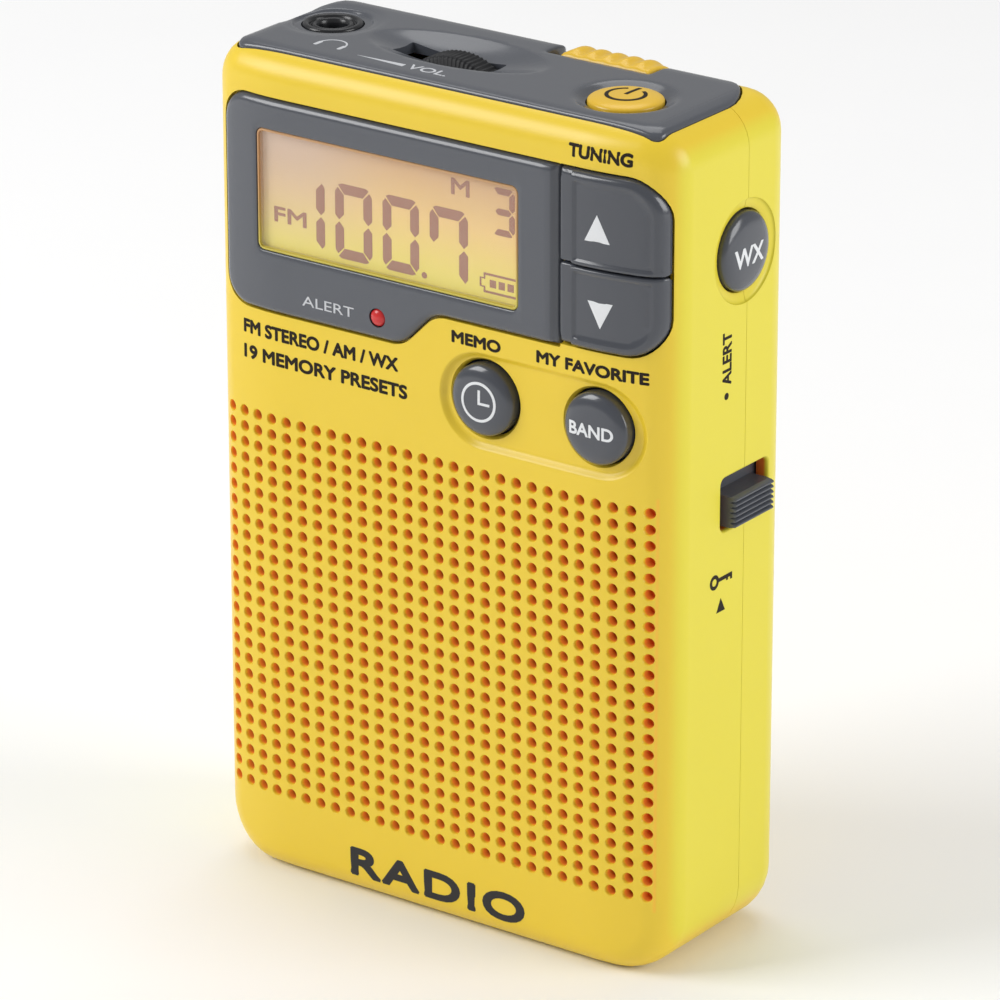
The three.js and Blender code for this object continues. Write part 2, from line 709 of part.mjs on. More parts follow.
const LOOK = {
  yellow: { color: 0xe8c33c, roughness: 0.45 },
  grey: { color: 0x626469, roughness: 0.5 },
  darkGrey: { color: 0x4c4f55, roughness: 0.4 },
  black: { color: 0x1d1e20, roughness: 0.6 },
  clear: { color: 0xe9d58f, roughness: 0.1, transparent: true, opacity: 0.35 },
  amber: { color: 0xf1dc7c, roughness: 0.3 },
  white: { color: 0xeeeeea, roughness: 0.4 },
  rubber: { color: 0x9aa0a3, roughness: 0.9 },
  red: { color: 0xd2403a, roughness: 0.2 },
  green: { color: 0x2d6b3f, roughness: 0.6 },
  metal: { color: 0xb9bcc0, roughness: 0.3, metalness: 1 },
  ferrite: { color: 0x2f2f33, roughness: 0.7 },
  copper: { color: 0xb8713e, roughness: 0.4, metalness: 1 },
  paper: { color: 0x35322e, roughness: 0.9 },
  cellLabel: { color: 0x39506b, roughness: 0.4 },
};

const assembly = new THREE.Group();
assembly.name = "pocket_radio";

function addNode(name, body, look) {
  const data = body.getMesh();
  const positions = [];
  for (const corner of data.triVerts) {
    const at = corner * data.numProp;
    positions.push(...data.vertProperties.slice(at, at + 3));
  }
  const geometry = new THREE.BufferGeometry();
  geometry.setAttribute("position", new THREE.Float32BufferAttribute(positions, 3));
  geometry.computeVertexNormals();
  const mesh = new THREE.Mesh(geometry, new THREE.MeshStandardMaterial(LOOK[look]));
  mesh.name = name;
  assembly.add(mesh);
}

addNode("front_case", frontCase(), "yellow");
addNode("rear_case", rearCase(), "yellow");
addNode("top_plate", topPlate(), "grey");
addNode("display_bezel", displayBezel(), "grey");
addNode("display_lens", displayLens(), "clear");
addNode("display_holder", displayHolder(), "white");
addNode("lcd_glass", box(-28.2, 15.1, -11.5, -10.4, 84.5, 103.8), "amber");
addNode("backlight_guide", box(-28, 14.9, -10.3, -8.3, 87.2, 103.6), "white");
addNode("elastomer_strip", box(-25.4, 12.4, -10.3, BOARD_FRONT - 0.1, 84.6, 86.6), "rubber");
addNode("alert_led", turned([[0, 9], [1.5, 9], [1.5, 11.6], [LED_RADIUS, 11.6], [LED_RADIUS, 14.3],
  [LED_RADIUS - 0.35, 14.65], [0, 14.75]].map(([r, h]) => [r, -h]), "y", [-7.55, 0, 80.8], 16), "red");
addNode("main_board", mainBoard(), "green");
addNode("side_board", box(25, 26.2, -4.9, 9, 52, 99), "green");
addNode("tuner_chip", box(2, 12, -5.2, -3.8, 70, 80), "black");

addNode("tuning_up_key", tuningKey(TUNING_SPLIT + 0.12, TUNING_HIGH, 0, TUNING_CORNER), "darkGrey");
addNode("tuning_down_key", tuningKey(TUNING_LOW, TUNING_SPLIT - 0.12, TUNING_CORNER, 0), "darkGrey");
addNode("memo_key", frontKey(MEMO_X), "darkGrey");
addNode("band_key", frontKey(BAND_X), "darkGrey");
addNode("weather_key", weatherKey(), "darkGrey");
addNode("power_key", powerKey(), "yellow");
addNode("volume_wheel", volumeWheel(), "black");
addNode("lock_slider", lockSlider(), "darkGrey");
addNode("mode_slider", modeSlider(), "yellow");
addNode("battery_door", batteryDoor(), "yellow");

const seat = BOARD_FRONT - 0.02;
const upMiddle = (TUNING_SPLIT + TUNING_HIGH) / 2;
const downMiddle = (TUNING_LOW + TUNING_SPLIT) / 2;
addNode("tuning_up_switch", pressSwitch("y", -1, [25.1, 0, upMiddle], seat), "black");
addNode("tuning_down_switch", pressSwitch("y", -1, [25.1, 0, downMiddle], seat), "black");
addNode("memo_switch", pressSwitch("y", -1, [MEMO_X, 0, ROUND_KEY_Z], seat), "black");
addNode("band_switch", pressSwitch("y", -1, [25.1, 0, ROUND_KEY_Z], seat), "black");
addNode("weather_switch", pressSwitch("x", 1, [0, weatherCentre[1], WEATHER_Z], 27.2), "black");
addNode("power_switch", pressSwitch("z", 1, [POWER_X, -2.1, 0], 102.1), "black");
addNode("lock_switch", box(26.3, 30.4, -0.5, 7.5, 55.4, 65.4), "metal");
addNode("mode_switch", box(6, 16.6, 6.8, 12, 100.2, 104.8), "metal");

addNode("headphone_jack", headphoneJack(), "black");
addNode("jack_bushing", jackBushing(), "metal");
addNode("volume_pot", volumePot(), "black");
addNode("ferrite_rod", disc(3.4, "x", [0, 7.6, 92], -22, 21, 24), "ferrite");
addNode("ferrite_coil", turned([[3.5, -9], [4.4, -9], [4.4, 9], [3.5, 9], [3.5, -9]],
  "x", [0, 7.6, 92], 24), "copper");

addNode("speaker_cloth", disc(SPEAKER_RADIUS, "y", [0, 0, SPEAKER_Z], -12.1, -11.9), "paper");
addNode("speaker_frame", speakerFrame(), "metal");
addNode("speaker_cone", speakerCone(), "paper");
addNode("speaker_magnet", disc(9, "y", [0, 0, SPEAKER_Z], -6.25, -4.2), "ferrite");

addNode("battery_cell_1", batteryCell(CELL_LOW_Z, 1), "cellLabel");
addNode("battery_cell_2", batteryCell(CELL_LOW_Z + CELL_PITCH, -1), "cellLabel");
addNode("contact_spring_1", contactSpring(CELL_LOW_Z, 1), "metal");
addNode("contact_spring_2", contactSpring(CELL_LOW_Z + CELL_PITCH, -1), "metal");
addNode("contact_plate_1", contactPlate(CELL_LOW_Z, 1), "metal");
addNode("contact_plate_2", contactPlate(CELL_LOW_Z + CELL_PITCH, -1), "metal");
screwPlaces().forEach((place, index) => {
  addNode(`case_screw_${index + 1}`, caseScrew(place), "metal");
});

export default assembly;
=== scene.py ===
"""Visual model of a yellow pocket weather radio. Shapes are in millimetres until piece() makes them metres."""

import json
import math

import bmesh
import bpy
import numpy as np
from mathutils import Matrix, Vector
from mathutils.geometry import delaunay_2d_cdt


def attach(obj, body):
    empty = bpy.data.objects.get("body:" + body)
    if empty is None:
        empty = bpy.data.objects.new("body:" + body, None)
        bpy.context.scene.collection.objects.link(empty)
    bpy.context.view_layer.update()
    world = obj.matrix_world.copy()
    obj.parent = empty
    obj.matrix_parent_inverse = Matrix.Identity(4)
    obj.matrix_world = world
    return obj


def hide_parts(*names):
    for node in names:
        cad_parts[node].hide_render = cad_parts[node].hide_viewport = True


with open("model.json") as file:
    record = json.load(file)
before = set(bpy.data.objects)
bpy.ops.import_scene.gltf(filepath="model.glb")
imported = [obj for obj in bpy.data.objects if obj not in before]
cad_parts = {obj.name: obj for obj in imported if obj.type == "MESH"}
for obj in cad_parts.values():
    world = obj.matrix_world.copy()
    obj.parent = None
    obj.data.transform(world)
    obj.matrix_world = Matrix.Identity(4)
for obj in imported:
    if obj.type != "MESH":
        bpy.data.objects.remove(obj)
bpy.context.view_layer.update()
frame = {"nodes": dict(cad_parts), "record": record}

# ------------------------------------------------------------------ dimensions, millimetres

MM = 0.001
WIDTH, HEIGHT = 71.0, 111.7
FRONT, BACK = -14.0, 14.0
SEAM, SEAM_GAP = 3.5, 0.07
EDGE_FRONT, EDGE_BACK = 3.8, 5.0
CORNER_LOW, CORNER_HIGH = 8.0, 5.2
CROWN_START, CROWN_RADIUS, CROWN_REACH, CROWN_END_SLOPE = 23.2, 36.0, 8.8, 0.252
WALL = 1.8
SIDE = WIDTH / 2
PLATE_RISE, BEZEL_RISE, KEY_RISE, KEY_DISH = 0.3, 0.5, 0.85, 0.26
PLATE_SIDE, PLATE_FRONT, PLATE_BACK = 32.5, FRONT + 2.5, BACK - 1.8
PLATE_RADII = (2.2, 1.5, 9, 7)

GRILLE_COLUMNS, GRILLE_ROWS = 28, 25
GRILLE_STEP_X, GRILLE_STEP_Z, GRILLE_MIDDLE = 2.40, 2.15, 37.4
# Radius and depth pairs of one grille hole, and where it ends: outermost columns stop short of the side wall.
GRILLE_LIP = ((0.9, -0.12), (0.83, -0.03), (0.79, 0.02), (0.75, 0.07), (0.71, 0.14), (0.685, 0.24),
              (0.675, 0.36))
GRILLE_RADIUS, GRILLE_DEPTH, GRILLE_BLIND = 0.675, 3.0, 1.55

# Rectangles are (low u, high u, low v, high v).
WINDOW = (-26.7, 13.8, 86.0, 102.1)
LCD = (-27.3, 14.4, 85.4, 102.7)
LCD_FACE = -13.3
WHEEL_SLOT = (-14.4, 0.2, -2.2, 2.2)
LOCK_SLOT = (-1.6, 8.8, 57.8, 64.8)
TUNING_LEFT, TUNING_RIGHT, TUNING_LOW, TUNING_HIGH = 19.95, 34.3, 83.3, 106
TUNING_SMALL, TUNING_LARGE = 0.35, 5
LED = (-7.75, 80.7)

# Domed buttons: place, then radius, face height and crown.
ROUND_KEY_Z, MEMO_X, BAND_X = 73.1, 8.1, 25.2
ROUND_RADIUS, ROUND_FACE, ROUND_CROWN = 4.7, 14.9, 1.2
WEATHER_Y, WEATHER_Z = 3.0, 93.4
WEATHER_RADIUS, WEATHER_FACE, WEATHER_CROWN = 5.1, 36.3, 1.1
POWER_X, POWER_Y = 21.4, -2.5
POWER_RADIUS, POWER_FACE, POWER_CROWN, POWER_FULLNESS = 4.75, 112.3, 0.8, 5.0

JACK_X, JACK_Y = -26.8, 1.9
WHEEL_X, WHEEL_Z, WHEEL_R = -5.7, 102.9, 9.0
# Middle and half sizes of the oval dish round the wheel.
WHEEL_DISH = (-6.0, 0.4, 13.4, 6.0)
# Left, right and front of the rear slider, and of the seat that it runs in.
MODE = (4.9, 18.2, 6.95)
MODE_SEAT = (MODE[0] - 2.1, MODE[1] + 0.3, MODE[2] - 0.25)
SCREW_X, SCREW_Z = 31.2, (9, 79.5)
CATCH_X = (-16, 16)


# ------------------------------------------------------------------ case surface


def sag(x):
    """How far the crowned front falls back at x."""
    away = np.maximum(np.abs(x) - CROWN_START, 0)
    near = np.minimum(away, CROWN_REACH)
    slope = CROWN_REACH / math.sqrt(CROWN_RADIUS**2 - CROWN_REACH**2)
    return CROWN_RADIUS - np.sqrt(CROWN_RADIUS**2 - near**2) + slope * (away - near)


def sag_slope(x):
    near = np.minimum(np.maximum(np.abs(x) - CROWN_START, 0), CROWN_REACH)
    return np.sign(x) * near / np.sqrt(CROWN_RADIUS**2 - near**2)


def depth_inside(x, z):
    """Distance inside the front outline, and the outward direction to it in x and z."""
    x, z = np.asarray(x, float), np.asarray(z, float)
    low = z < HEIGHT / 2
    r = np.where(low, CORNER_LOW, CORNER_HIGH)
    dx = np.abs(x) - (WIDTH / 2 - r)
    dz = np.where(low, CORNER_LOW - z, z - (HEIGHT - CORNER_HIGH))
    corner = (dx > 0) & (dz > 0)
    reach = np.where(corner, np.hypot(dx, dz), np.maximum(dx, dz))
    safe = np.maximum(np.hypot(dx, dz), 1e-9)
    nx = np.where(corner, dx / safe, np.where(dx > dz, 1.0, 0.0)) * np.sign(x)
    nz = np.where(corner, dz / safe, np.where(dx > dz, 0.0, 1.0)) * np.where(low, -1, 1)
    return r - reach, nx, nz


def front_y(x, z, t=0.0):
    """The front skin's y, shrunk by t."""
    d = depth_inside(x, z)[0]
    r = EDGE_FRONT
    lip = np.maximum(r - d, 0)
    edge = (r - t) - np.sqrt(np.maximum((r - t) ** 2 - lip**2, 0))
    return FRONT + t + sag(x) + edge


def plate_z(x, y, t=-PLATE_RISE):
    """The case top's z at (x, y), lowered by t."""
    x, y = np.asarray(x, float), np.asarray(y, float)
    u = np.clip(EDGE_FRONT - (y - FRONT - sag(x)), 0, EDGE_FRONT)
    v = np.clip(EDGE_BACK - (BACK - y), 0, EDGE_BACK)
    d = EDGE_FRONT - np.sqrt(EDGE_FRONT**2 - u**2) + EDGE_BACK - np.sqrt(EDGE_BACK**2 - v**2)
    reach = CORNER_HIGH - d
    past = np.clip(np.abs(x) - (WIDTH / 2 - CORNER_HIGH), 0, CORNER_HIGH)
    return HEIGHT - CORNER_HIGH + np.sqrt(np.maximum(reach**2 - past**2, 0)) - t


def case_normals(points):
    """Exact outward normals for points on the case skin, and which points are on it."""
    x, y, z = points.T
    d, nx, nz = depth_inside(x, z)
    u = y - FRONT - sag(x)
    v = BACK - y
    out = np.zeros_like(points)
    valid = np.zeros(len(points), bool)

    def put(mask, values):
        out[mask] = values[mask]
        valid[mask] = True

    near = 0.04
    r = EDGE_FRONT
    s, c = np.clip((r - d) / r, 0, 1), np.clip((r - u) / r, 0, 1)
    on_front = (u < r) & (np.abs(np.hypot(np.maximum(r - d, 0), r - u) - r) < near)
    put(on_front, np.stack([nx * s + sag_slope(x) * c, -c, nz * s], 1))
    r = EDGE_BACK
    s, c = np.clip((r - d) / r, 0, 1), np.clip((r - v) / r, 0, 1)
    on_rear = (v < r) & (np.abs(np.hypot(np.maximum(r - d, 0), r - v) - r) < near)
    put(on_rear, np.stack([nx * s, c, nz * s], 1))
    on_side = (u >= EDGE_FRONT) & (v >= EDGE_BACK) & (np.abs(d) < near)
    put(on_side, np.stack([nx, np.zeros_like(nx), nz], 1))
    out /= np.maximum(np.linalg.norm(out, axis=1, keepdims=True), 1e-9)
    return out, valid


# ------------------------------------------------------------------ mesh helpers


def new_object(name, points, faces, outward=True):
    mesh = bpy.data.meshes.new(name)
    mesh.from_pydata([tuple(map(float, p)) for p in points], [], [tuple(f) for f in faces])
    if outward:
        work = bmesh.new()
        work.from_mesh(mesh)
        bmesh.ops.remove_doubles(work, verts=work.verts, dist=1e-5)
        bmesh.ops.recalc_face_normals(work, faces=work.faces)
        if work.calc_volume(signed=True) < 0:
            bmesh.ops.reverse_faces(work, faces=work.faces)
        work.to_mesh(mesh)
        work.free()
    mesh.update()
    obj = bpy.data.objects.new(name, mesh)
    bpy.context.collection.objects.link(obj)
    return obj


def boolean(target, *tools, operation="DIFFERENCE"):
    """Cuts, joins or meets the target with each tool, and removes the tools."""
    for tool in tools:
        step = target.modifiers.new("step", "BOOLEAN")
        step.operation = operation
        step.solver = "MANIFOLD"
        step.object = tool
        graph = bpy.context.evaluated_depsgraph_get()
        result = bpy.data.meshes.new_from_object(target.evaluated_get(graph))
        target.modifiers.clear()
        old = target.data
        target.data = result
        bpy.data.meshes.remove(old)
        used = tool.data
        bpy.data.objects.remove(tool)
        bpy.data.meshes.remove(used)
    return target


def bands(rows, n):
    """Quads between neighbouring closed rows of n points."""
    faces = []
    for k in range(rows - 1):
        for i in range(n):
            j = (i + 1) % n
            faces.append((k * n + i, k * n + j, (k + 1) * n + j, (k + 1) * n + i))
    return faces


def loft(name, loops, capped=True):
    """Closed solid through loops that have equal point counts."""
    n = len(loops[0])
    faces = bands(len(loops), n)
    if capped:
        faces.append(tuple(reversed(range(n))))
        faces.append(tuple(range((len(loops) - 1) * n, len(loops) * n)))
    return new_object(name, [p for loop in loops for p in loop], faces)


AXES = {
    "x": lambda u, v, w: (w, u, v),
    "y": lambda u, v, w: (u, w, v),
    "z": lambda u, v, w: (u, v, w),
}


def turned(name, profile, axis, centre, segments=64):
    """Solid of revolution: profile pairs are radius and position along the axis."""
    angles = [2 * math.pi * i / segments for i in range(segments)]
    loops = []
    for radius, along in profile:
        r = max(radius, 1e-3)
        loop = [AXES[axis](r * math.cos(a), r * math.sin(a), along) for a in angles]
        loops.append([tuple(p + q for p, q in zip(point, centre)) for point in loop])
    return loft(name, loops)


def box(name, x0, x1, y0, y1, z0, z1):
    loops = [[(x0, y0, z), (x1, y0, z), (x1, y1, z), (x0, y1, z)] for z in (z0, z1)]
    return loft(name, loops)


def prism(name, loop, axis, low, high):
    return loft(name, [[AXES[axis](u, v, w) for u, v in loop] for w in (low, high)])


def rounded(corners, steps=8):
    """Polygon with rounded corners from (u, v, radius) triples, counter-clockwise."""
    loop = []
    n = len(corners)
    for i in range(n):
        p = np.array(corners[i][:2], float)
        a = np.array(corners[i - 1][:2], float) - p
        b = np.array(corners[(i + 1) % n][:2], float) - p
        a, b = a / np.linalg.norm(a), b / np.linalg.norm(b)
        r = corners[i][2]
        if r <= 0:
            loop.append(tuple(p))
            continue
        half = math.acos(np.clip(np.dot(a, b), -1, 1)) / 2
        reach = r / math.tan(half)
        centre = p + (a + b) / np.linalg.norm(a + b) * (r / math.sin(half))
        start, end = p + a * reach - centre, p + b * reach - centre
        sweep = math.pi - 2 * half
        turn = math.copysign(1, start[0] * end[1] - start[1] * end[0])
        for k in range(steps + 1):
            t = turn * sweep * k / steps
            c, s = math.cos(t), math.sin(t)
            loop.append((centre[0] + (start[0] * c - start[1] * s), centre[1] + (start[0] * s + start[1] * c)))
    return loop


def rectangle(u0, u1, v0, v1, radius=0.0, steps=8):
    return rounded([(u0, v0, radius), (u1, v0, radius), (u1, v1, radius), (u0, v1, radius)], steps)


def grown(bounds, by):
    """Rectangle bounds moved outward on every side."""
    u0, u1, v0, v1 = bounds
    return u0 - by, u1 + by, v0 - by, v1 + by


def circle(u, v, radius, count=48):
    angles = [2 * math.pi * i / count for i in range(count)]
    return [(u + radius * math.cos(a), v + radius * math.sin(a)) for a in angles]


def shifted(loop, inward):
    """The loop moved inward, point by point."""
    p = np.array(loop, float)
    area = np.sum(p[:, 0] * np.roll(p[:, 1], -1) - np.roll(p[:, 0], -1) * p[:, 1])
    e0 = p - np.roll(p, 1, axis=0)
    e1 = np.roll(p, -1, axis=0) - p
    e0 /= np.maximum(np.linalg.norm(e0, axis=1, keepdims=True), 1e-9)
    e1 /= np.maximum(np.linalg.norm(e1, axis=1, keepdims=True), 1e-9)
    n0, n1 = np.stack([-e0[:, 1], e0[:, 0]], 1), np.stack([-e1[:, 1], e1[:, 0]], 1)
    n = n0 + n1
    n /= np.maximum(np.sum(n * n0, axis=1, keepdims=True), 0.3)
    return [tuple(q) for q in p + n * inward * np.sign(area)]


def distance(points, loop):
    """Shortest distance from each point to a closed polyline."""
    p = np.asarray(points, float)
    a = np.array(loop, float)
    b = np.roll(a, -1, axis=0)
    ab = b - a
    length = np.maximum(np.sum(ab * ab, axis=1), 1e-12)
    best = np.full(len(p), 1e9)
    for i in range(len(a)):
        t = np.clip(((p - a[i]) @ ab[i]) / length[i], 0, 1)
        best = np.minimum(best, np.linalg.norm(p - a[i] - t[:, None] * ab[i], axis=1))
    return best


def inside(points, loop):
    p = np.asarray(points, float)
    result = np.zeros(len(p), bool)
    n = len(loop)
    for i in range(n):
        (x0, y0), (x1, y1) = loop[i], loop[(i + 1) % n]
        crosses = (y0 > p[:, 1]) != (y1 > p[:, 1])
        at = (x1 - x0) * (p[:, 1] - y0) / ((y1 - y0) or 1e-12) + x0
        result ^= crosses & (p[:, 0] < at)
    return result


def densified(loop, step):
    """The loop with its long edges divided."""
    result = []
    for i, p in enumerate(loop):
        q = loop[(i + 1) % len(loop)]
        parts = max(1, math.ceil(math.hypot(q[0] - p[0], q[1] - p[1]) / step))
        result += [(p[0] + (q[0] - p[0]) * k / parts, p[1] + (q[1] - p[1]) * k / parts) for k in range(parts)]
    return result


def triangulated(points, edges, weld, wanted):
    """Points and triangles of a flat outline: wanted says which triangle middles stay."""
    found = delaunay_2d_cdt([Vector(q) for q in points], edges, [], 0, weld)
    flat = np.array([(q[0], q[1]) for q in found[0]])
    triangles = np.array([f for f in found[2] if len(f) == 3])
    triangles = triangles[wanted(flat[triangles].mean(axis=1))]
    used = np.unique(triangles)
    index = np.full(len(flat), -1)
    index[used] = np.arange(len(used))
    return flat[used], index[triangles]


def level(height):
    """A flat top or bottom for a relief."""
    return lambda u, v, d: height


def relief(name, outline, top, bottom, axis, holes=(), rims=(0.12, 0.3, 0.6), step=1.2, rings=()):
    """Closed solid over a flat outline: top and bottom give the height at (u, v, distance to the outline)."""
    outline = densified(outline, 1.6 * step)
    loops = [outline] + [shifted(outline, r) for r in rims]
    for hole in holes:
        hole = densified(hole, 1.6 * step)
        loops.append(hole)
        loops += [shifted(hole, -r) for r in rims[:2]]
    loops += [densified(ring, 1.6 * step) for ring in rings]
    points, edges = [], []
    for loop in loops:
        start = len(points)
        points += loop
        edges += [(start + i, start + (i + 1) % len(loop)) for i in range(len(loop))]
    p = np.array(outline)
    u = np.arange(p[:, 0].min() + step / 2, p[:, 0].max(), step)
    v = np.arange(p[:, 1].min() + step / 2, p[:, 1].max(), step)
    grid = np.stack(np.meshgrid(u, v), -1).reshape(-1, 2)
    keep = inside(grid, outline)
    for loop in loops:
        keep &= distance(grid, loop) > 0.3 * step
    points += [tuple(q) for q in grid[keep]]

    def wanted(middle):
        kept = inside(middle, outline)
        for hole in holes:
            kept &= ~inside(middle, hole)
        return kept

    flat, triangles = triangulated(points, edges, 1e-5, wanted)
    d = distance(flat, outline)
    high = top(flat[:, 0], flat[:, 1], d) * np.ones(len(flat))
    low = bottom(flat[:, 0], flat[:, 1], d) * np.ones(len(flat))
    n = len(flat)
    solid = [AXES[axis](a, b, h) for (a, b), h in zip(flat, high)]
    solid += [AXES[axis](a, b, h) for (a, b), h in zip(flat, low)]
    count = {}
    for a, b, c in triangles:
        for e in ((a, b), (b, c), (c, a)):
            count[e] = count.get(e, 0) + 1
    faces = [tuple(t) for t in triangles] + [(c + n, b + n, a + n) for a, b, c in triangles]
    for a, b in count:
        if (b, a) not in count:
            faces.append((b, a, a + n, b + n))
    return new_object(name, solid, faces)


def shade(obj, angle=38, on_case=False):
    """Smooth shading with sharp edges kept, and exact normals on the case skin."""
    mesh = obj.data
    mesh.shade_smooth()
    mesh.set_sharp_from_angle(angle=math.radians(angle))
    if not on_case:
        return obj
    n = len(mesh.loops)
    normals = np.zeros(n * 3)
    mesh.corner_normals.foreach_get("vector", normals)
    normals = normals.reshape(-1, 3)
    corner_point = np.zeros(n, int)
    mesh.loops.foreach_get("vertex_index", corner_point)
    points = np.zeros(len(mesh.vertices) * 3)
    mesh.vertices.foreach_get("co", points)
    exact, valid = case_normals(points.reshape(-1, 3))
    faces = np.zeros(len(mesh.polygons) * 3)
    mesh.polygons.foreach_get("normal", faces)
    total = np.zeros(len(mesh.polygons), int)
    mesh.polygons.foreach_get("loop_total", total)
    face_normals = np.repeat(faces.reshape(-1, 3), total, axis=0)
    exact, valid = exact[corner_point], valid[corner_point]
    use = valid & (np.sum(exact * face_normals, axis=1) > 0.86)
    normals[use] = exact[use]
    mesh.normals_split_custom_set(normals.tolist())
    return obj


def piece(obj, body, material, slot, *nodes, angle=38, on_case=False):
    """Finishes a piece: shading, metres, material, body and the CAD nodes it stands for."""
    shade(obj, angle, on_case)
    obj.data.transform(Matrix.Scale(MM, 4))
    obj.data.materials.clear()
    obj.data.materials.append(material)
    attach(obj, body)
    if nodes:
        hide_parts(*nodes)
    return obj


# ------------------------------------------------------------------ materials


def colour(r, g, b):
    """A screen colour as scene values."""
    shares = (r / 255, g / 255, b / 255)
    return tuple(c / 12.92 if c <= 0.04045 else ((c + 0.055) / 1.055) ** 2.4 for c in shares) + (1.0,)


def feed(material, node, inputs):
    """Gives each named input a value, or links the socket that feeds it."""
    for name, value in inputs.items():
        if isinstance(value, bpy.types.NodeSocket):
            material.node_tree.links.new(value, node.inputs[name])
        else:
            node.inputs[name].default_value = value


def add_node(material, kind, inputs, **settings):
    node = material.node_tree.nodes.new("ShaderNode" + kind)
    for name, value in settings.items():
        setattr(node, name, value)
    feed(material, node, inputs)
    return node


def shader_of(material):
    return material.node_tree.nodes["Principled BSDF"]


def position(material):
    """The sockets of x, y and z in the object's own frame."""
    place = add_node(material, "TexCoord", {}).outputs["Object"]
    return add_node(material, "SeparateXYZ", {"Vector": place}).outputs


def math_node(material, operation, *values):
    return add_node(material, "Math", dict(enumerate(values)), operation=operation).outputs["Value"]


def ramp(material, value, start, end):
    """A smooth share from nothing at start to one at end, both in millimetres."""
    inputs = {"Value": value, "From Min": start * MM, "From Max": end * MM}
    return add_node(material, "MapRange", inputs, interpolation_type="SMOOTHSTEP").outputs["Result"]


def mixed(material, share, first, second):
    inputs = {"Factor": share, "A": first, "B": second}
    return add_node(material, "Mix", inputs, data_type="RGBA").outputs["Result"]


def moulded(name, base, rough=0.4, grain=0.03, grain_scale=2600, drift=0.06, metal=0.0, coat=0.0, specular=0.5):
    """Moulded surface: slow colour drift, uneven gloss and a fine grain in the normal."""
    material = bpy.data.materials.new(name)
    material.use_nodes = True
    place = add_node(material, "TexCoord", {}).outputs["Object"]
    slow = add_node(material, "TexNoise", {"Vector": place, "Scale": 38, "Detail": 3}).outputs["Fac"]
    fine = add_node(material, "TexNoise", {"Vector": place, "Scale": grain_scale, "Detail": 2}).outputs["Fac"]
    dark = tuple(c * (1 - drift) for c in base[:3]) + (1.0,)
    light = tuple(min(c * (1 + drift), 1) for c in base[:3]) + (1.0,)
    gloss = {"Value": slow, "To Min": max(rough - 0.05, 0.02), "To Max": min(rough + 0.05, 1)}
    bump = {"Height": fine, "Strength": grain, "Distance": 0.0001}
    feed(material, shader_of(material), {
        "Metallic": metal,
        "Coat Weight": coat,
        "Coat Roughness": 0.12,
        "Specular IOR Level": specular,
        "Base Color": mixed(material, slow, dark, light),
        "Roughness": add_node(material, "MapRange", gloss).outputs["Result"],
        "Normal": add_node(material, "Bump", bump).outputs["Normal"],
    })
    return material


def display_ramp_painted_shade(name, top, middle, bottom, side, glow):
    """Backlit display colours: a vertical ramp, darker and more peach at the top, with a paler side on the
    left; the darker top and left are painted shade from the window's edges.
    """
    material = moulded(name, middle, rough=0.3, grain=0.01)
    x, _, z = position(material)
    height = {"Value": z, "From Min": WINDOW[3] * MM, "From Max": WINDOW[2] * MM}
    down = add_node(material, "MapRange", height).outputs["Result"]
    blend = add_node(material, "ValToRGB", {"Fac": down})
    stops = blend.color_ramp.elements
    # Painted shade: the darker peach at the top stands in for the shade under the window's top edge.
    stops[0].position, stops[0].color = 0.0, top
    stops[1].position, stops[1].color = 0.92, bottom
    stops.new(0.45).color = middle
    # Painted shade: the greyer left side, strongest towards the top, stands in for the shade beside the
    # window's left edge.
    up = math_node(material, "SUBTRACT", 1.0, down)
    share = math_node(material, "MULTIPLY", ramp(material, x, -3, -23), up)
    surface = mixed(material, share, blend.outputs["Color"], side)
    light = {"Base Color": surface, "Emission Color": surface, "Emission Strength": glow}
    feed(material, shader_of(material), light)
    return material


def retinted(material, share, tone):
    """Turns the base colour to a tone by a share."""
    base = shader_of(material).inputs["Base Color"]
    surface = mixed(material, share, base.links[0].from_socket, tone)
    feed(material, shader_of(material), {"Base Color": surface})


def painted_side_light(material, tone):
    """Painted light: a slightly greener, lighter yellow towards the two sides of the case, standing in for the
    stronger light on the side faces.
    """
    across = math_node(material, "ABSOLUTE", position(material)["X"])
    retinted(material, ramp(material, across, 34.2, 35.4), tone)


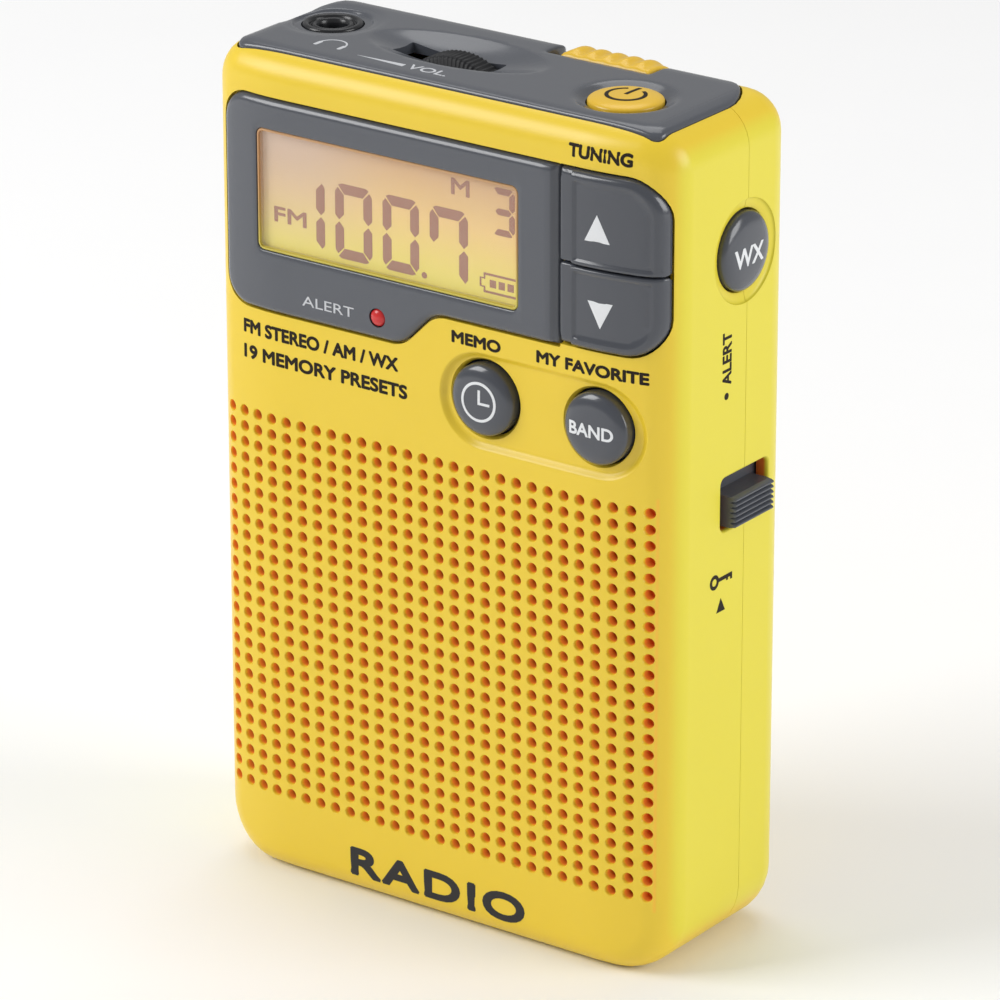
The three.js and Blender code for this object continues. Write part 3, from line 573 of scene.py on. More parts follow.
def painted_hole_light(material, deep, glow):
    """Painted shade and bounce light: a deeper orange inside the grille holes and the side slot, and a painted
    orange glow on the hole walls.
    """
    x, y, z = position(material)

    def calculate(operation, *values):
        return math_node(material, operation, *values)

    def within(value, start, end):
        return ramp(material, value, start, end)

    def every(*shares):
        total = shares[0]
        for share in shares[1:]:
            total = calculate("MULTIPLY", total, share)
        return total

    across = calculate("ABSOLUTE", x)
    away = calculate("MAXIMUM", calculate("SUBTRACT", across, CROWN_START * MM), 0.0)
    near = calculate("MINIMUM", away, CROWN_REACH * MM)
    bend = calculate("DIVIDE", calculate("MULTIPLY", near, near), 2 * CROWN_RADIUS * MM)
    past = calculate("MULTIPLY", calculate("SUBTRACT", away, near), CROWN_END_SLOPE)
    skin = calculate("ADD", calculate("ADD", bend, past), FRONT * MM)
    below = calculate("SUBTRACT", y, skin)
    from_side = calculate("SUBTRACT", SIDE * MM, x)
    in_grille = every(within(across, 33.6, 33.2), within(z, 9.2, 9.8), within(z, 65.4, 64.9),
                      within(y, -8.6, -9.4))
    hole_shade_share = every(within(below, 0.22, 0.7), in_grille)
    painted_glow_share = every(within(below, 0.2, 0.55), within(below, 1.75, 0.5), in_grille)
    slot_shade_share = every(within(from_side, 0.3, 0.8), within(x, 30.0, 32.0), within(z, 56.6, 57.2),
                    within(z, 65.9, 65.4), within(y, -3.6, -3.0), within(y, 10.8, 10.2))
    # Painted shade: the deeper orange inside the holes and the slot.
    retinted(material, calculate("MAXIMUM", hole_shade_share, slot_shade_share), deep)
    # Painted glow: orange emission on the hole walls stands in for light bouncing inside the plastic.
    emission = mixed(material, painted_glow_share, (0, 0, 0, 1), glow)
    feed(material, shader_of(material), {"Emission Color": emission, "Emission Strength": 0.2})


YELLOW = moulded("case_yellow", colour(238, 205, 54), rough=0.34, grain=0.05, grain_scale=2200, drift=0.02)
# Painted light: the side faces of the case get a lighter lemon yellow.
painted_side_light(YELLOW, colour(230, 216, 60))
# Painted shade and glow inside the grille holes and the side slot.
painted_hole_light(YELLOW, colour(226, 116, 40), (1.0, 0.42, 0.06, 1))
YELLOW_KEY = moulded("key_yellow", colour(232, 188, 48), rough=0.3, grain=0.02, drift=0.02)
GREY = moulded("trim_grey", colour(78, 81, 88), rough=0.24, grain=0.04, drift=0.03, coat=0.35)
DARK = moulded("key_grey", colour(69, 72, 79), rough=0.2, grain=0.02, drift=0.03, coat=0.35)
BLACK = moulded("soft_black", colour(27, 28, 31), rough=0.5, grain=0.05, drift=0.05)
PRINT_DARK = moulded("print_dark", colour(36, 28, 20), rough=0.6, grain=0.02, specular=0.2)
BUSH = moulded("socket_black", colour(26, 27, 30), rough=0.26, grain=0.02, drift=0.04)
WHEEL = moulded("wheel_black", colour(18, 19, 22), rough=0.5, grain=0.05, drift=0.05, specular=0.35)
# Painted light: a lighter copy of the dark key grey, standing in for the side light on the lock thumb's ribs.
LOCK_GREY_LIT = moulded("slider_grey_painted_light", colour(84, 87, 94), rough=0.26, grain=0.03, drift=0.03)
PRINT_NAME = moulded("print_name", colour(44, 44, 48), rough=0.5, grain=0.02, specular=0.3)
PRINT_LIGHT = moulded("print_light", colour(228, 230, 232), rough=0.5, grain=0.02)
PRINT_GREY = moulded("print_grey", colour(200, 202, 206), rough=0.5, grain=0.02)
# Display colours: the darker top and greyer left are painted shade; the faint glow is the backlight.
PANEL = display_ramp_painted_shade("display_panel", colour(200, 154, 108), colour(232, 194, 114), colour(230, 214, 78),
                  colour(200, 172, 152), 0.13)
SEGMENT = moulded("display_segment", colour(158, 94, 66), rough=0.5, grain=0.01)
# The window trim takes the same vertical ramp and left side, without glow.
TRIM = display_ramp_painted_shade("window_trim", colour(196, 152, 104), colour(190, 144, 88), colour(204, 188, 80),
                 colour(196, 150, 104), 0.0)
RED = moulded("led_red", colour(206, 44, 44), rough=0.2, grain=0.01)
STEEL = moulded("plated_steel", colour(178, 180, 184), rough=0.28, grain=0.05, metal=1.0)
COPPER = moulded("winding_copper", colour(176, 108, 62), rough=0.35, grain=0.1, metal=1.0)
BOARD = moulded("board_green", colour(36, 96, 58), rough=0.4, grain=0.04)
PALE = moulded("moulded_white", colour(226, 226, 220), rough=0.45, grain=0.04)
RUBBER = moulded("strip_rubber", colour(140, 142, 146), rough=0.85, grain=0.2)
CLOTH = moulded("dust_cloth", colour(40, 36, 32), rough=0.95, grain=0.6, grain_scale=4200)
FERRITE = moulded("ferrite_grey", colour(52, 52, 56), rough=0.6, grain=0.1)
CELL = moulded("cell_wrap", colour(58, 80, 108), rough=0.35, grain=0.02)
GLASS = moulded("window_clear", colour(240, 236, 224), rough=0.06, grain=0.0)
feed(GLASS, shader_of(GLASS), {"Alpha": 0.1})

SLOT_LOOKS = {
    "yellow_plastic": YELLOW, "yellow_gloss": YELLOW_KEY, "grey_plastic": GREY, "dark_gloss": DARK,
    "black_plastic": BLACK, "clear_window": GLASS, "lcd": PANEL, "white_plastic": PALE,
    "strip_rubber": RUBBER, "red_lens": RED, "circuit_board": BOARD, "bright_metal": STEEL,
    "ferrite": FERRITE, "copper_wire": COPPER, "cloth": CLOTH, "cell_wrap": CELL,
}
for part in frame["record"]["subparts"]:
    node = frame["nodes"][part["node"]]
    node.data.materials.clear()
    node.data.materials.append(SLOT_LOOKS[part["material_slot"]])


# ------------------------------------------------------------------ case shells

ARC_STEPS, FLAT_STEPS, TALL_STEPS, ROUND_STEPS = 8, 34, 26, 9


def form_ring(inset):
    """The outline at an inset as matching stations: bottom, right side, top, left side."""
    low, high = CORNER_LOW - inset, max(CORNER_HIGH - inset, 0.05)
    cx, cz = WIDTH / 2 - CORNER_LOW, CORNER_LOW
    quarter = [math.pi / 2 * k / ARC_STEPS for k in range(ARC_STEPS + 1)]
    bottom = [(-cx - low * math.cos(a), cz - low * math.sin(a)) for a in quarter]
    bottom += [(-cx + 2 * cx * k / FLAT_STEPS, inset) for k in range(1, FLAT_STEPS)]
    bottom += [(cx + low * math.cos(a), cz - low * math.sin(a)) for a in reversed(quarter)]
    cx, cz = WIDTH / 2 - CORNER_HIGH, HEIGHT - CORNER_HIGH
    top = [(-cx - high * math.cos(a), cz + high * math.sin(a)) for a in quarter]
    top += [(-cx + 2 * cx * k / FLAT_STEPS, HEIGHT - inset) for k in range(1, FLAT_STEPS)]
    top += [(cx + high * math.cos(a), cz + high * math.sin(a)) for a in reversed(quarter)]
    return bottom, top


def ring_loop(bottom, top):
    """One closed loop of (x, z) from the two rows."""

    def climb(a, b):
        return [
            (a[0] + (b[0] - a[0]) * k / TALL_STEPS, a[1] + (b[1] - a[1]) * k / TALL_STEPS)
            for k in range(1, TALL_STEPS)
        ]

    return bottom + climb(bottom[-1], top[-1]) + top[::-1] + climb(top[0], bottom[0])


def case_form(t, name="form"):
    """The whole rounded case as a closed solid, shrunk by t."""
    rings = []
    for k in range(ROUND_STEPS + 1):
        a = math.pi / 2 * k / ROUND_STEPS
        d = EDGE_FRONT - (EDGE_FRONT - t) * math.sin(a)
        y = FRONT + t + (EDGE_FRONT - t) * (1 - math.cos(a))
        loop = ring_loop(*form_ring(d))
        rings.append([(x, y + float(sag(x)), z) for x, z in loop])
    for k in range(ROUND_STEPS + 1):
        a = math.pi / 2 * (1 - k / ROUND_STEPS)
        d = EDGE_BACK - (EDGE_BACK - t) * math.sin(a)
        y = BACK - t - (EDGE_BACK - t) * (1 - math.cos(a))
        rings.append([(x, y, z) for x, z in ring_loop(*form_ring(d))])
    n = len(rings[0])
    points = [p for ring in rings for p in ring]
    faces = bands(len(rings), n)
    faces.append(tuple(range((len(rings) - 1) * n, len(rings) * n)))
    # The crowned front is filled with strips from the bottom row to the top row.
    bottom, top = form_ring(EDGE_FRONT)
    columns = len(bottom)
    grid = {}
    for i in range(columns):
        for j in range(TALL_STEPS + 1):
            if j == 0:
                grid[i, j] = i
            elif j == TALL_STEPS:
                grid[i, j] = columns + TALL_STEPS - 1 + (columns - 1 - i)
            elif i == columns - 1:
                grid[i, j] = columns + j - 1
            elif i == 0:
                grid[i, j] = n - j
            else:
                f = j / TALL_STEPS
                x = bottom[i][0] * (1 - f) + top[i][0] * f
                z = bottom[i][1] * (1 - f) + top[i][1] * f
                grid[i, j] = len(points)
                points.append((x, FRONT + t + float(sag(x)), z))
    for i in range(columns - 1):
        for j in range(TALL_STEPS):
            faces.append((grid[i, j], grid[i, j + 1], grid[i + 1, j + 1], grid[i + 1, j]))
    return new_object(name, points, faces)


def pocket(tool, t):
    """The part of a tool that lies outside the case form shrunk by t."""
    return boolean(tool, case_form(t))


def grille_cutter():
    """Every grille hole as one cutter: each plug follows the crowned skin and flares at its lip."""
    sides = 18
    rows = len(GRILLE_LIP) + 1
    points, faces = [], []
    for row in range(GRILLE_ROWS):
        for column in range(GRILLE_COLUMNS):
            cx = (column - (GRILLE_COLUMNS - 1) / 2) * GRILLE_STEP_X
            cz = GRILLE_MIDDLE + (row - (GRILLE_ROWS - 1) / 2) * GRILLE_STEP_Z
            y = float(front_y(cx, cz))
            slope = float(front_y(cx + 0.2, cz) - front_y(cx - 0.2, cz)) / 0.4
            start = len(points)
            end = GRILLE_BLIND if column in (0, GRILLE_COLUMNS - 1) else GRILLE_DEPTH
            for radius, deep in (*GRILLE_LIP, (GRILLE_RADIUS, end)):
                for i in range(sides):
                    a = 2 * math.pi * i / sides
                    dx, dz = radius * math.cos(a), radius * math.sin(a)
                    points.append((cx + dx, y + deep + slope * dx * (deep < 1), cz + dz))
            for k in range(rows - 1):
                for i in range(sides):
                    j = (i + 1) % sides
                    a, b = start + k * sides, start + (k + 1) * sides
                    faces.append((a + i, b + i, b + j, a + j))
            last = start + (rows - 1) * sides
            faces.append(tuple(start + i for i in range(sides)))
            faces.append(tuple(last + sides - 1 - i for i in range(sides)))
    return new_object("grille_cutter", points, faces, outward=False)


def bezel_loop(grow=0.0):
    """The stepped outline of the display bezel: its lower edge rises in a soft S to the keys."""
    left, right, low, top = grown((-32.7, 19.7, 77.8, 106.0), grow)
    step = 82.8 - grow
    r = 4 + grow
    lean = grow * 0.41
    return rounded([(left, low, r), (-4.25 + lean, low, 4.2 + grow), (0.75 + lean, step, 4.2 - grow),
                    (right, step, 0.3), (right, top, 0.3), (left, top, r)], 9)


def tuning_loop(low, high, low_corner, high_corner, grow=0.0):
    left, right, low, high = grown((TUNING_LEFT, TUNING_RIGHT, low, high), grow)
    return rounded([(left, low, TUNING_SMALL), (right, low, low_corner + grow),
                    (right, high, high_corner + grow), (left, high, TUNING_SMALL)], 9)


def plate_loop(grow=0.0):
    left, right, front, back = grown((-PLATE_SIDE, PLATE_SIDE, PLATE_FRONT, PLATE_BACK), grow)
    corners = ((left, front), (right, front), (right, back), (left, back))
    return rounded([(*corner, radius) for corner, radius in zip(corners, PLATE_RADII)], 9)


def smooth_step(value):
    value = np.clip(value, 0, 1)
    return value * value * (3 - 2 * value)


def case_cutters():
    """The cutters that both halves need."""
    return [
        case_form(WALL, "cavity"),
        pocket(prism("seat", plate_loop(0.18), "z", 109.0, 120), 2.0),
        turned("weather_dish", [(0, 31), (5.3, 31), (5.3, 34.75), (5.38, 34.9), (5.6, 34.98), (6.1, 35.08),
                                (6.5, 35.18), (6.64, 35.28), (6.74, 35.54), (6.8, 37), (0, 37)], "x",
               (0, WEATHER_Y, WEATHER_Z)),
        loft("lock_slot", [[(x, y, z) for y, z in rectangle(*grown(LOCK_SLOT, g), 0.9 + g)]
                           for x, g in ((33, 0), (35.18, 0), (35.4, 0.12), (35.54, 0.34), (37, 0.34))]),
        turned("jack_hole", [(0, 100), (4.1, 100), (4.1, 118), (0, 118)], "z", (JACK_X, JACK_Y, 0)),
        turned("power_hole", [(0, 100), (5.0, 100), (5.0, 118), (0, 118)], "z", (POWER_X, POWER_Y, 0)),
        box("wheel_well", WHEEL_X - 11, WHEEL_X + 10, -3.6, 3.6, 90, 110.2),
        pocket(box("mode_seat", *MODE_SEAT, 25, 104, 125), 0.46),
        box("mode_slot", 8, 14.2, 8.2, 11.2, 90, 120),
    ]


def case_half(name, y0, y1):
    """One half of the case form with the cuts that both halves need."""
    shell = boolean(case_form(0, name), box("keep", -60, 60, y0, y1, -9, 150), operation="INTERSECT")
    return boolean(shell, *case_cutters())


def front_shell():
    shell = case_half("front_shell", -30, SEAM - SEAM_GAP / 2)
    both_keys = tuning_loop(TUNING_LOW, TUNING_HIGH, TUNING_LARGE, TUNING_LARGE, 0.24)

    def stadium_floor(u, v, d):
        return front_y(u, v) - 0.03 + 0.75 * smooth_step(d / 1.1)

    key_hole = [(0, -20), (5.35, -20), (5.35, -13.33), (5.2, -13.1), (4.98, -12.8), (4.95, -12.4), (4.95, -5),
                (0, -5)]
    boolean(
        shell,
        relief("stadium", rectangle(1.3, 32.3, 66.3, 79.5, 6.59, 14), level(-20), stadium_floor, "y",
               rims=(0.25, 0.5, 0.75, 1.0, 1.25)),
        pocket(prism("bezel_seat", bezel_loop(0.22), "y", -18, -9), 0.95),
        prism("window_hole", rectangle(*grown(WINDOW, 0.9)), "y", -18, -8),
        prism("tuning_hole", both_keys, "y", -18, -10),
        turned("memo_hole", key_hole, "y", (MEMO_X, 0, ROUND_KEY_Z)),
        turned("band_hole", key_hole, "y", (BAND_X, 0, ROUND_KEY_Z)),
        grille_cutter(),
    )
    return piece(shell, "case", YELLOW, "yellow_plastic", "front_case", on_case=True)


def door_loop(grow=0.0):
    return rounded([(-28.3 - grow, -10, 0), (28.3 + grow, -10, 0), (28.3 + grow, 42 + grow, 1.2),
                    (-28.3 - grow, 42 + grow, 1.2)], 6)


def rear_shell():
    shell = case_half("rear_shell", SEAM + SEAM_GAP / 2, 30)
    posts = [(x, 0, z) for x in (-SCREW_X, SCREW_X) for z in SCREW_Z]
    boss = [(0, 3.8), (3, 3.8), (3, 13), (0, 13)]
    bosses = [boolean(turned("boss", boss, "y", post, 32), case_form(0.5), operation="INTERSECT")
              for post in posts]
    screw_hole = [(0, 2), (1.35, 2), (1.35, 11.8), (2.35, 11.8), (2.35, 13.7), (2.6, 14.05), (2.6, 16), (0, 16)]
    boolean(
        shell,
        box("tub", -28.3, 28.3, -4, 12.35, 5.2, 37.8),
        box("ledge", -29.8, 29.8, 11.2, 12.45, 5.2, 43.9),
        *bosses,
        operation="UNION",
    )
    boolean(
        shell,
        boolean(prism("door_gap", door_loop(0.22), "y", 9.7, 20), box("stay", -40, 40, 0, 12.45, 5.2, 60)),
        box("tub_room", -27.5, 27.5, -3.2, 20, 6, 37),
        *[box("catch", x - 4.3, x + 4.3, 11, 12.6, 38, 43.9) for x in CATCH_X],
        *[turned("screw_hole", screw_hole, "y", post, 40) for post in posts],
    )
    return piece(shell, "case", YELLOW, "yellow_plastic", "rear_case", on_case=True)


def battery_door():
    door = boolean(case_form(0, "door_panel"), prism("door_tool", door_loop(), "y", 9.9, 20),
                   box("above", -60, 60, -30, 30, 0.4, 80), operation="INTERSECT")
    boolean(door, case_form(1.5))
    grips = []
    for i in range(5):
        z = 37.6 - 1.5 * i
        wide = 9.5 - 0.6 * i
        grips.append(loft("grip", [[(-wide, y, z - h), (wide, y, z - h), (wide, y, z + h), (-wide, y, z + h)]
                                   for y, h in ((13.4, 0.34), (14.12, 0.34), (14.3, 0.16))]))
    tabs = [box("tab", x - 4, x + 4, 11.4, 12.0, 41.2, 43.7) for x in CATCH_X]
    feet = [box("foot", x - 4, x + 4, 11.4, 12.7, 41.2, 41.9) for x in CATCH_X]
    boolean(door, *grips, *tabs, *feet, operation="UNION")
    return piece(door, "door", YELLOW, "yellow_plastic", "battery_door", on_case=True)


front_shell()
rear_shell()
battery_door()


# ------------------------------------------------------------------ top plate and display


def rim_drop(d, radius):
    """How far a rounded rim falls at a distance inside the outline."""
    lip = np.maximum(radius - d, 0)
    return radius - np.sqrt(np.maximum(radius**2 - lip**2, 0))


def plate_surface(u, v, d=None):
    """The grey top plate with its dished jack, wheel and power key seats."""
    z = plate_z(u, v)
    x, y, half_x, half_y = WHEEL_DISH
    reach = np.hypot((u - x) / half_x, (v - y) / half_y)
    z = z - 1.7 * np.maximum(1 - reach**2, 0) ** 1.15
    ring = np.hypot(u - JACK_X, v - JACK_Y)
    z = z - 0.45 * smooth_step((5.35 - ring) / 0.5) - 0.16 * smooth_step((7.0 - ring) / 1.2)
    ring = np.hypot(u - POWER_X, v - POWER_Y)
    z = z - 0.75 * smooth_step((6.9 - ring) / 2.0)
    if d is not None:
        z = z - rim_drop(d, 0.35)
    return z


def top_plate():
    left, right, notch = MODE_SEAT
    radii, back = PLATE_RADII, PLATE_BACK
    outline = rounded([(-PLATE_SIDE, PLATE_FRONT, radii[0]), (PLATE_SIDE, PLATE_FRONT, radii[1]),
                       (PLATE_SIDE, back, radii[2]), (right, back, 0.4), (right, notch, 0.3),
                       (left, notch, 0.5), (left, back, 1.6), (-PLATE_SIDE, back, radii[3])], 9)
    holes = (rectangle(*WHEEL_SLOT, 0.3, 4), circle(JACK_X, JACK_Y, 4.05, 48),
             circle(POWER_X, POWER_Y, 4.97, 64))
    rings = [circle(JACK_X, JACK_Y, r, 56) for r in (4.45, 4.8, 4.92, 5.05, 5.2, 5.36, 5.9, 6.4, 6.9)]
    rings += [circle(POWER_X, POWER_Y, r, 64) for r in (5.4, 5.8, 6.2, 6.6, 7.0)]
    x, y, half_x, half_y = WHEEL_DISH
    angles = np.linspace(0, 2 * math.pi, 72)[:-1]
    rings += [[(x + half_x * k * math.cos(a), y + half_y * k * math.sin(a)) for a in angles]
              for k in (0.97, 1.0)]
    plate = relief("plate_cover", outline, plate_surface,
                   lambda u, v, d: np.minimum(plate_z(u, v, 1.9), 109.9), "z",
                   holes=holes, rims=(0.06, 0.15, 0.35), step=0.8, rings=rings)
    return piece(plate, "case", GREY, "grey_plastic", "top_plate", angle=45)


def display_bezel():
    window = rectangle(*WINDOW, 1.0, 6)

    def face(u, v, d):
        lip = distance(np.stack([u, v], 1), window)
        slope = 0.42 * smooth_step((u - 18.55) / 0.6)
        return front_y(u, v, -BEZEL_RISE) + rim_drop(d, 1.0) + rim_drop(lip, 0.2) + slope

    bezel = relief("bezel_frame", bezel_loop(), face, lambda u, v, d: front_y(u, v, 0.9), "y",
                   holes=(window, circle(*LED, 1.25, 28)), rims=(0.05, 0.18, 0.4, 0.7, 1.0), step=1.5,
                   rings=(rectangle(18.55, 19.2, 83.2, 105.6),))
    piece(bezel, "case", GREY, "grey_plastic", "display_bezel", angle=45)
    trim = relief("window_trim", shifted(window, 0.03),
                  lambda u, v, d: front_y(u, v, -BEZEL_RISE) + 0.12 + rim_drop(d, 0.12),
                  lambda u, v, d: -12.95 + sag(u), "y", holes=(shifted(window, 0.34),), rims=(0.12,), step=3)
    piece(trim, "case", TRIM, "clear_window", angle=30)
    pane = relief("window_pane", shifted(window, 0.36), lambda u, v, d: -14.05 + rim_drop(d, 0.12),
                  level(-13.7), "y", rims=(0.1,), step=4)
    piece(pane, "case", GLASS, "clear_window", "display_lens")
    panel = relief("lcd_panel", rectangle(*LCD, 0.4, 3), lambda u, v, d: LCD_FACE + rim_drop(d, 0.1),
                   level(-12.0), "y", rims=(0.1,), step=4)
    piece(panel, "case", PANEL, "lcd", "lcd_glass")
    dome_profile = [(0, -14.78), (0.4, -14.74), (0.8, -14.6), (1.08, -14.38), (1.18, -14.1), (1.18, -12.6),
                    (1.5, -12.5), (1.5, -9), (0, -9)]
    led = turned("led_dome", dome_profile, "y", (LED[0], 0, LED[1]), 32)
    piece(led, "case", RED, "red_lens", "alert_led")


top_plate()
display_bezel()


# ------------------------------------------------------------------ keys


def tuning_key(name, low, high, low_corner, high_corner, body, node):
    """Dished key with a wide outer rim, a narrow rim at the middle gap and a lower strip on the left."""
    loop = tuning_loop(low, high, low_corner, high_corner)
    upper = high_corner > low_corner
    spread = tuning_loop(low - 0.75 * upper, high + 0.75 * (not upper), low_corner, high_corner)
    spread = [(u - 2.6 * (u < 22), v) for u, v in spread]
    middle = (low + high) / 2

    def surface(u, v, d):
        outer = distance(np.stack([u, v], 1), spread)
        y = front_y(u, v, -KEY_RISE) + rim_drop(outer, 1.0) + rim_drop(d, 0.3)
        strip = 0.55 * (1 - smooth_step((u - 21.7) / 0.3))
        dish = KEY_DISH * smooth_step((outer - 1.2) / 0.4) * smooth_step((u - 22.2) / 0.3)
        return y + strip + dish

    rims = shifted(spread, 1.2), shifted(spread, 1.6)
    rings = [[(max(u, 22.2 + 0.3 * k), min(max(v, low + 0.15), high - 0.15)) for u, v in rim]
             for k, rim in enumerate(rims)]
    rings.append(rectangle(21.7, 22.0, low + 0.3, high - 0.3))
    key = relief(name, loop, surface, level(-11.4), "y", rims=(0.06, 0.15, 0.3, 0.55, 0.8, 1.05), step=0.8,
                 rings=rings)
    flange = box("flange", 19.0, 31.4, -11.5, -10.9, low + 0.4, high - 0.4)
    stem = box("stem", 24.6, 28, -11.6, -10.2, middle - 1.7, middle + 1.7)
    boolean(key, flange, stem, operation="UNION")
    return piece(key, body, DARK, "dark_gloss", node, angle=42)


tuning_key("key_tuning_up", 94.02, TUNING_HIGH, TUNING_SMALL, TUNING_LARGE, "tuning_up", "tuning_up_key")
tuning_key("key_tuning_down", TUNING_LOW, 93.78, TUNING_LARGE, TUNING_SMALL, "tuning_down", "tuning_down_key")


def button_profile(radius, foot, flange, face, crown, fullness=5.2):
    """Domed button: stem, hidden flange, short barrel and a full dome of height crown."""
    profile = [(0, foot), (1.6, foot), (1.6, flange), (radius + 0.55, flange), (radius + 0.55, flange + 0.7),
               (radius, flange + 0.75)]
    for k in range(15):
        share = math.sin(math.pi / 2 * (1 - k / 14)) if k else 1.0
        profile.append((radius * share, face - crown * (1 - dome(share, fullness))))
    return profile


def dome(share, fullness=5.2):
    """Height of a full dome from one at the centre to nothing at the rim."""
    return 0.82 * max(1 - abs(share) ** fullness, 0.0) ** 0.5 + 0.18 * (1 - share * share)


def front_button(name, x, body, node):
    profile = [(r, -h) for r, h in button_profile(ROUND_RADIUS, 10.2, 10.4, ROUND_FACE, ROUND_CROWN)]
    return piece(turned(name, profile, "y", (x, 0, ROUND_KEY_Z), 72), body, DARK, "dark_gloss", node)


front_button("key_memo", MEMO_X, "memo", "memo_key")
front_button("key_band", BAND_X, "band", "band_key")
weather_profile = button_profile(WEATHER_RADIUS, 31, 32.2, WEATHER_FACE, WEATHER_CROWN)
piece(turned("key_weather", weather_profile, "x", (0, WEATHER_Y, WEATHER_Z), 72), "weather", DARK, "dark_gloss",
      "weather_key")
power_profile = button_profile(POWER_RADIUS, 105.9, 107, POWER_FACE, POWER_CROWN, POWER_FULLNESS)
piece(turned("key_power", power_profile, "z", (POWER_X, POWER_Y, 0), 72), "power", YELLOW_KEY, "yellow_gloss",
      "power_key")


# ------------------------------------------------------------------ wheel, sliders, socket


def volume_wheel():
    """The knurled wheel with a turned hub."""
    half, rim = 1.7, WHEEL_R - 0.12
    hub = -half + 0.5
    profile = [(1.7, hub), (2.6, hub), (2.7, -half), (3.6, -half), (3.8, -half + 0.6), (5.2, -half + 0.6),
               (5.4, -half), (rim - 0.35, -half), (rim, -half + 0.35), (rim, half - 0.35), (rim - 0.35, half),
               (1.7, half), (1.7, hub)]
    segments, teeth = 504, 84
    angles = [2 * math.pi * i / segments for i in range(segments)]
    loops = []
    for radius, along in profile:
        tooth = 0.08 if radius > 8.4 else 0.0
        reach = [(a, radius + tooth * math.cos(teeth * a)) for a in angles]
        loops.append([(WHEEL_X + r * math.cos(a), along, WHEEL_Z + r * math.sin(a)) for a, r in reach])
    wheel = loft("wheel_knurled", loops, capped=False)
    return piece(wheel, "volume", WHEEL, "black_plastic", "volume_wheel", angle=50)


def lock_slider():
    low, high = 58.1, 62.5
    ribs = 6
    section = [(33.0, low + 0.15), (36.2, low + 0.15)]
    pitch = (high - low - 0.3) / ribs
    for i in range(ribs):
        z = low + 0.15 + i * pitch
        for f, out in ((0.08, 0.0), (0.2, 0.55), (0.4, 0.72), (0.62, 0.72), (0.82, 0.55), (0.94, 0.0)):
            section.append((36.25 + out, z + f * pitch))
    section += [(36.2, high - 0.15), (33.0, high - 0.15)]
    ends = [(-0.5, 0.9), (-0.35, 1.0), (7.9, 1.0), (8.05, 0.9)]
    thumb = loft("lock_thumb", [[(x if x < 34 else 34 + (x - 34) * share, y, z) for x, z in section]
                                for y, share in ends])
    base = prism("base", rectangle(-3.4, 10.6, 55.2, 65.1, 0.8, 4), "x", 32.5, 33.4)
    stem = box("stem", 30.8, 32.8, 2, 5, 59.4, 61.2)
    boolean(thumb, base, stem, operation="UNION")
    # The thumb takes the lighter grey with its painted side light.
    return piece(thumb, "lock", LOCK_GREY_LIT, "dark_gloss", "lock_slider", angle=32)


def mode_slider():
    """Ribbed yellow slider that wraps the top rear edge."""
    left, right, front = MODE
    centre_y, centre_z = BACK - EDGE_BACK, HEIGHT - EDGE_BACK
    path = [(front + (centre_y - front) * k / 5, HEIGHT, 0.0) for k in range(6)]
    for k in range(1, 13):
        a = math.pi / 2 * k / 12
        path.append((centre_y + EDGE_BACK * math.sin(a), centre_z + EDGE_BACK * math.cos(a), a))
    path += [(BACK, centre_z - 0.5 * k, math.pi / 2) for k in (1, 2, 3)]
    ridges = 5
    across = [left + (right - left) * k / 60 for k in range(61)]
    rows = len(path)
    outer, inner = [], []
    for r, (y, z, a) in enumerate(path):
        end = min(r / 1.2, (rows - 1 - r) / 2.2, 1.0)
        fall = math.sqrt(max(1 - (1 - end) ** 2, 0.02))
        swell = float(smooth_step((r - 0.4) / 3.4) * smooth_step((rows - 1.4 - r) / 3.0))
        for x in across:
            edge = min((x - left) / 0.5, (right - x) / 0.5, 1.0)
            round_off = math.sqrt(max(1 - (1 - edge) ** 2, 0.04))
            along = min(max((x - left - 0.2) / (right - left - 1.1) * ridges, 0), ridges)
            wave = 0.5 + 0.5 * math.cos(2 * math.pi * (along - 0.5))
            rise = (0.42 * fall + 0.44 * wave**1.1 * swell) * round_off
            outer.append((x, y + rise * math.sin(a), z + rise * math.cos(a)))
            inner.append((x, y - 0.38 * math.sin(a), z - 0.38 * math.cos(a)))
    columns = len(across)
    n = len(outer)
    faces = []
    for r in range(rows - 1):
        for c in range(columns - 1):
            i = r * columns + c
            faces.append((i, i + 1, i + columns + 1, i + columns))
            faces.append((n + i + columns, n + i + columns + 1, n + i + 1, n + i))
    border = list(range(columns)) + [r * columns + columns - 1 for r in range(1, rows)]
    border += [(rows - 1) * columns + c for c in range(columns - 2, -1, -1)]
    border += [r * columns for r in range(rows - 2, 0, -1)]
    for i, a in enumerate(border):
        b = border[(i + 1) % len(border)]
        faces.append((b, a, a + n, b + n))
    slider = new_object("mode_thumb", outer + inner, faces)
    boolean(slider, box("stem", 10.4, 13.7, 8.3, 10.9, 105.2, 111.4), operation="UNION")
    return piece(slider, "mode", YELLOW_KEY, "yellow_gloss", "mode_slider", angle=50)


def socket():
    """The double-ringed bush of the headphone socket."""
    profile = [(1.8, 107.8), (3.9, 107.8), (3.9, 111.3), (3.85, 111.55), (3.7, 111.72), (3.45, 111.78),
               (3.2, 111.72), (3.0, 111.5), (2.92, 111.3), (2.8, 111.24), (2.68, 111.34), (2.55, 111.5),
               (2.35, 111.55), (2.15, 111.48), (2.02, 111.3), (1.92, 110.9), (1.85, 110.4), (1.8, 110.1),
               (1.8, 107.8)]
    bush = turned("socket_bush", profile, "z", (JACK_X, JACK_Y, 0), 64)
    return piece(bush, "case", BUSH, "black_plastic", "jack_bushing", angle=40)


volume_wheel()
lock_slider()
mode_slider()
socket()


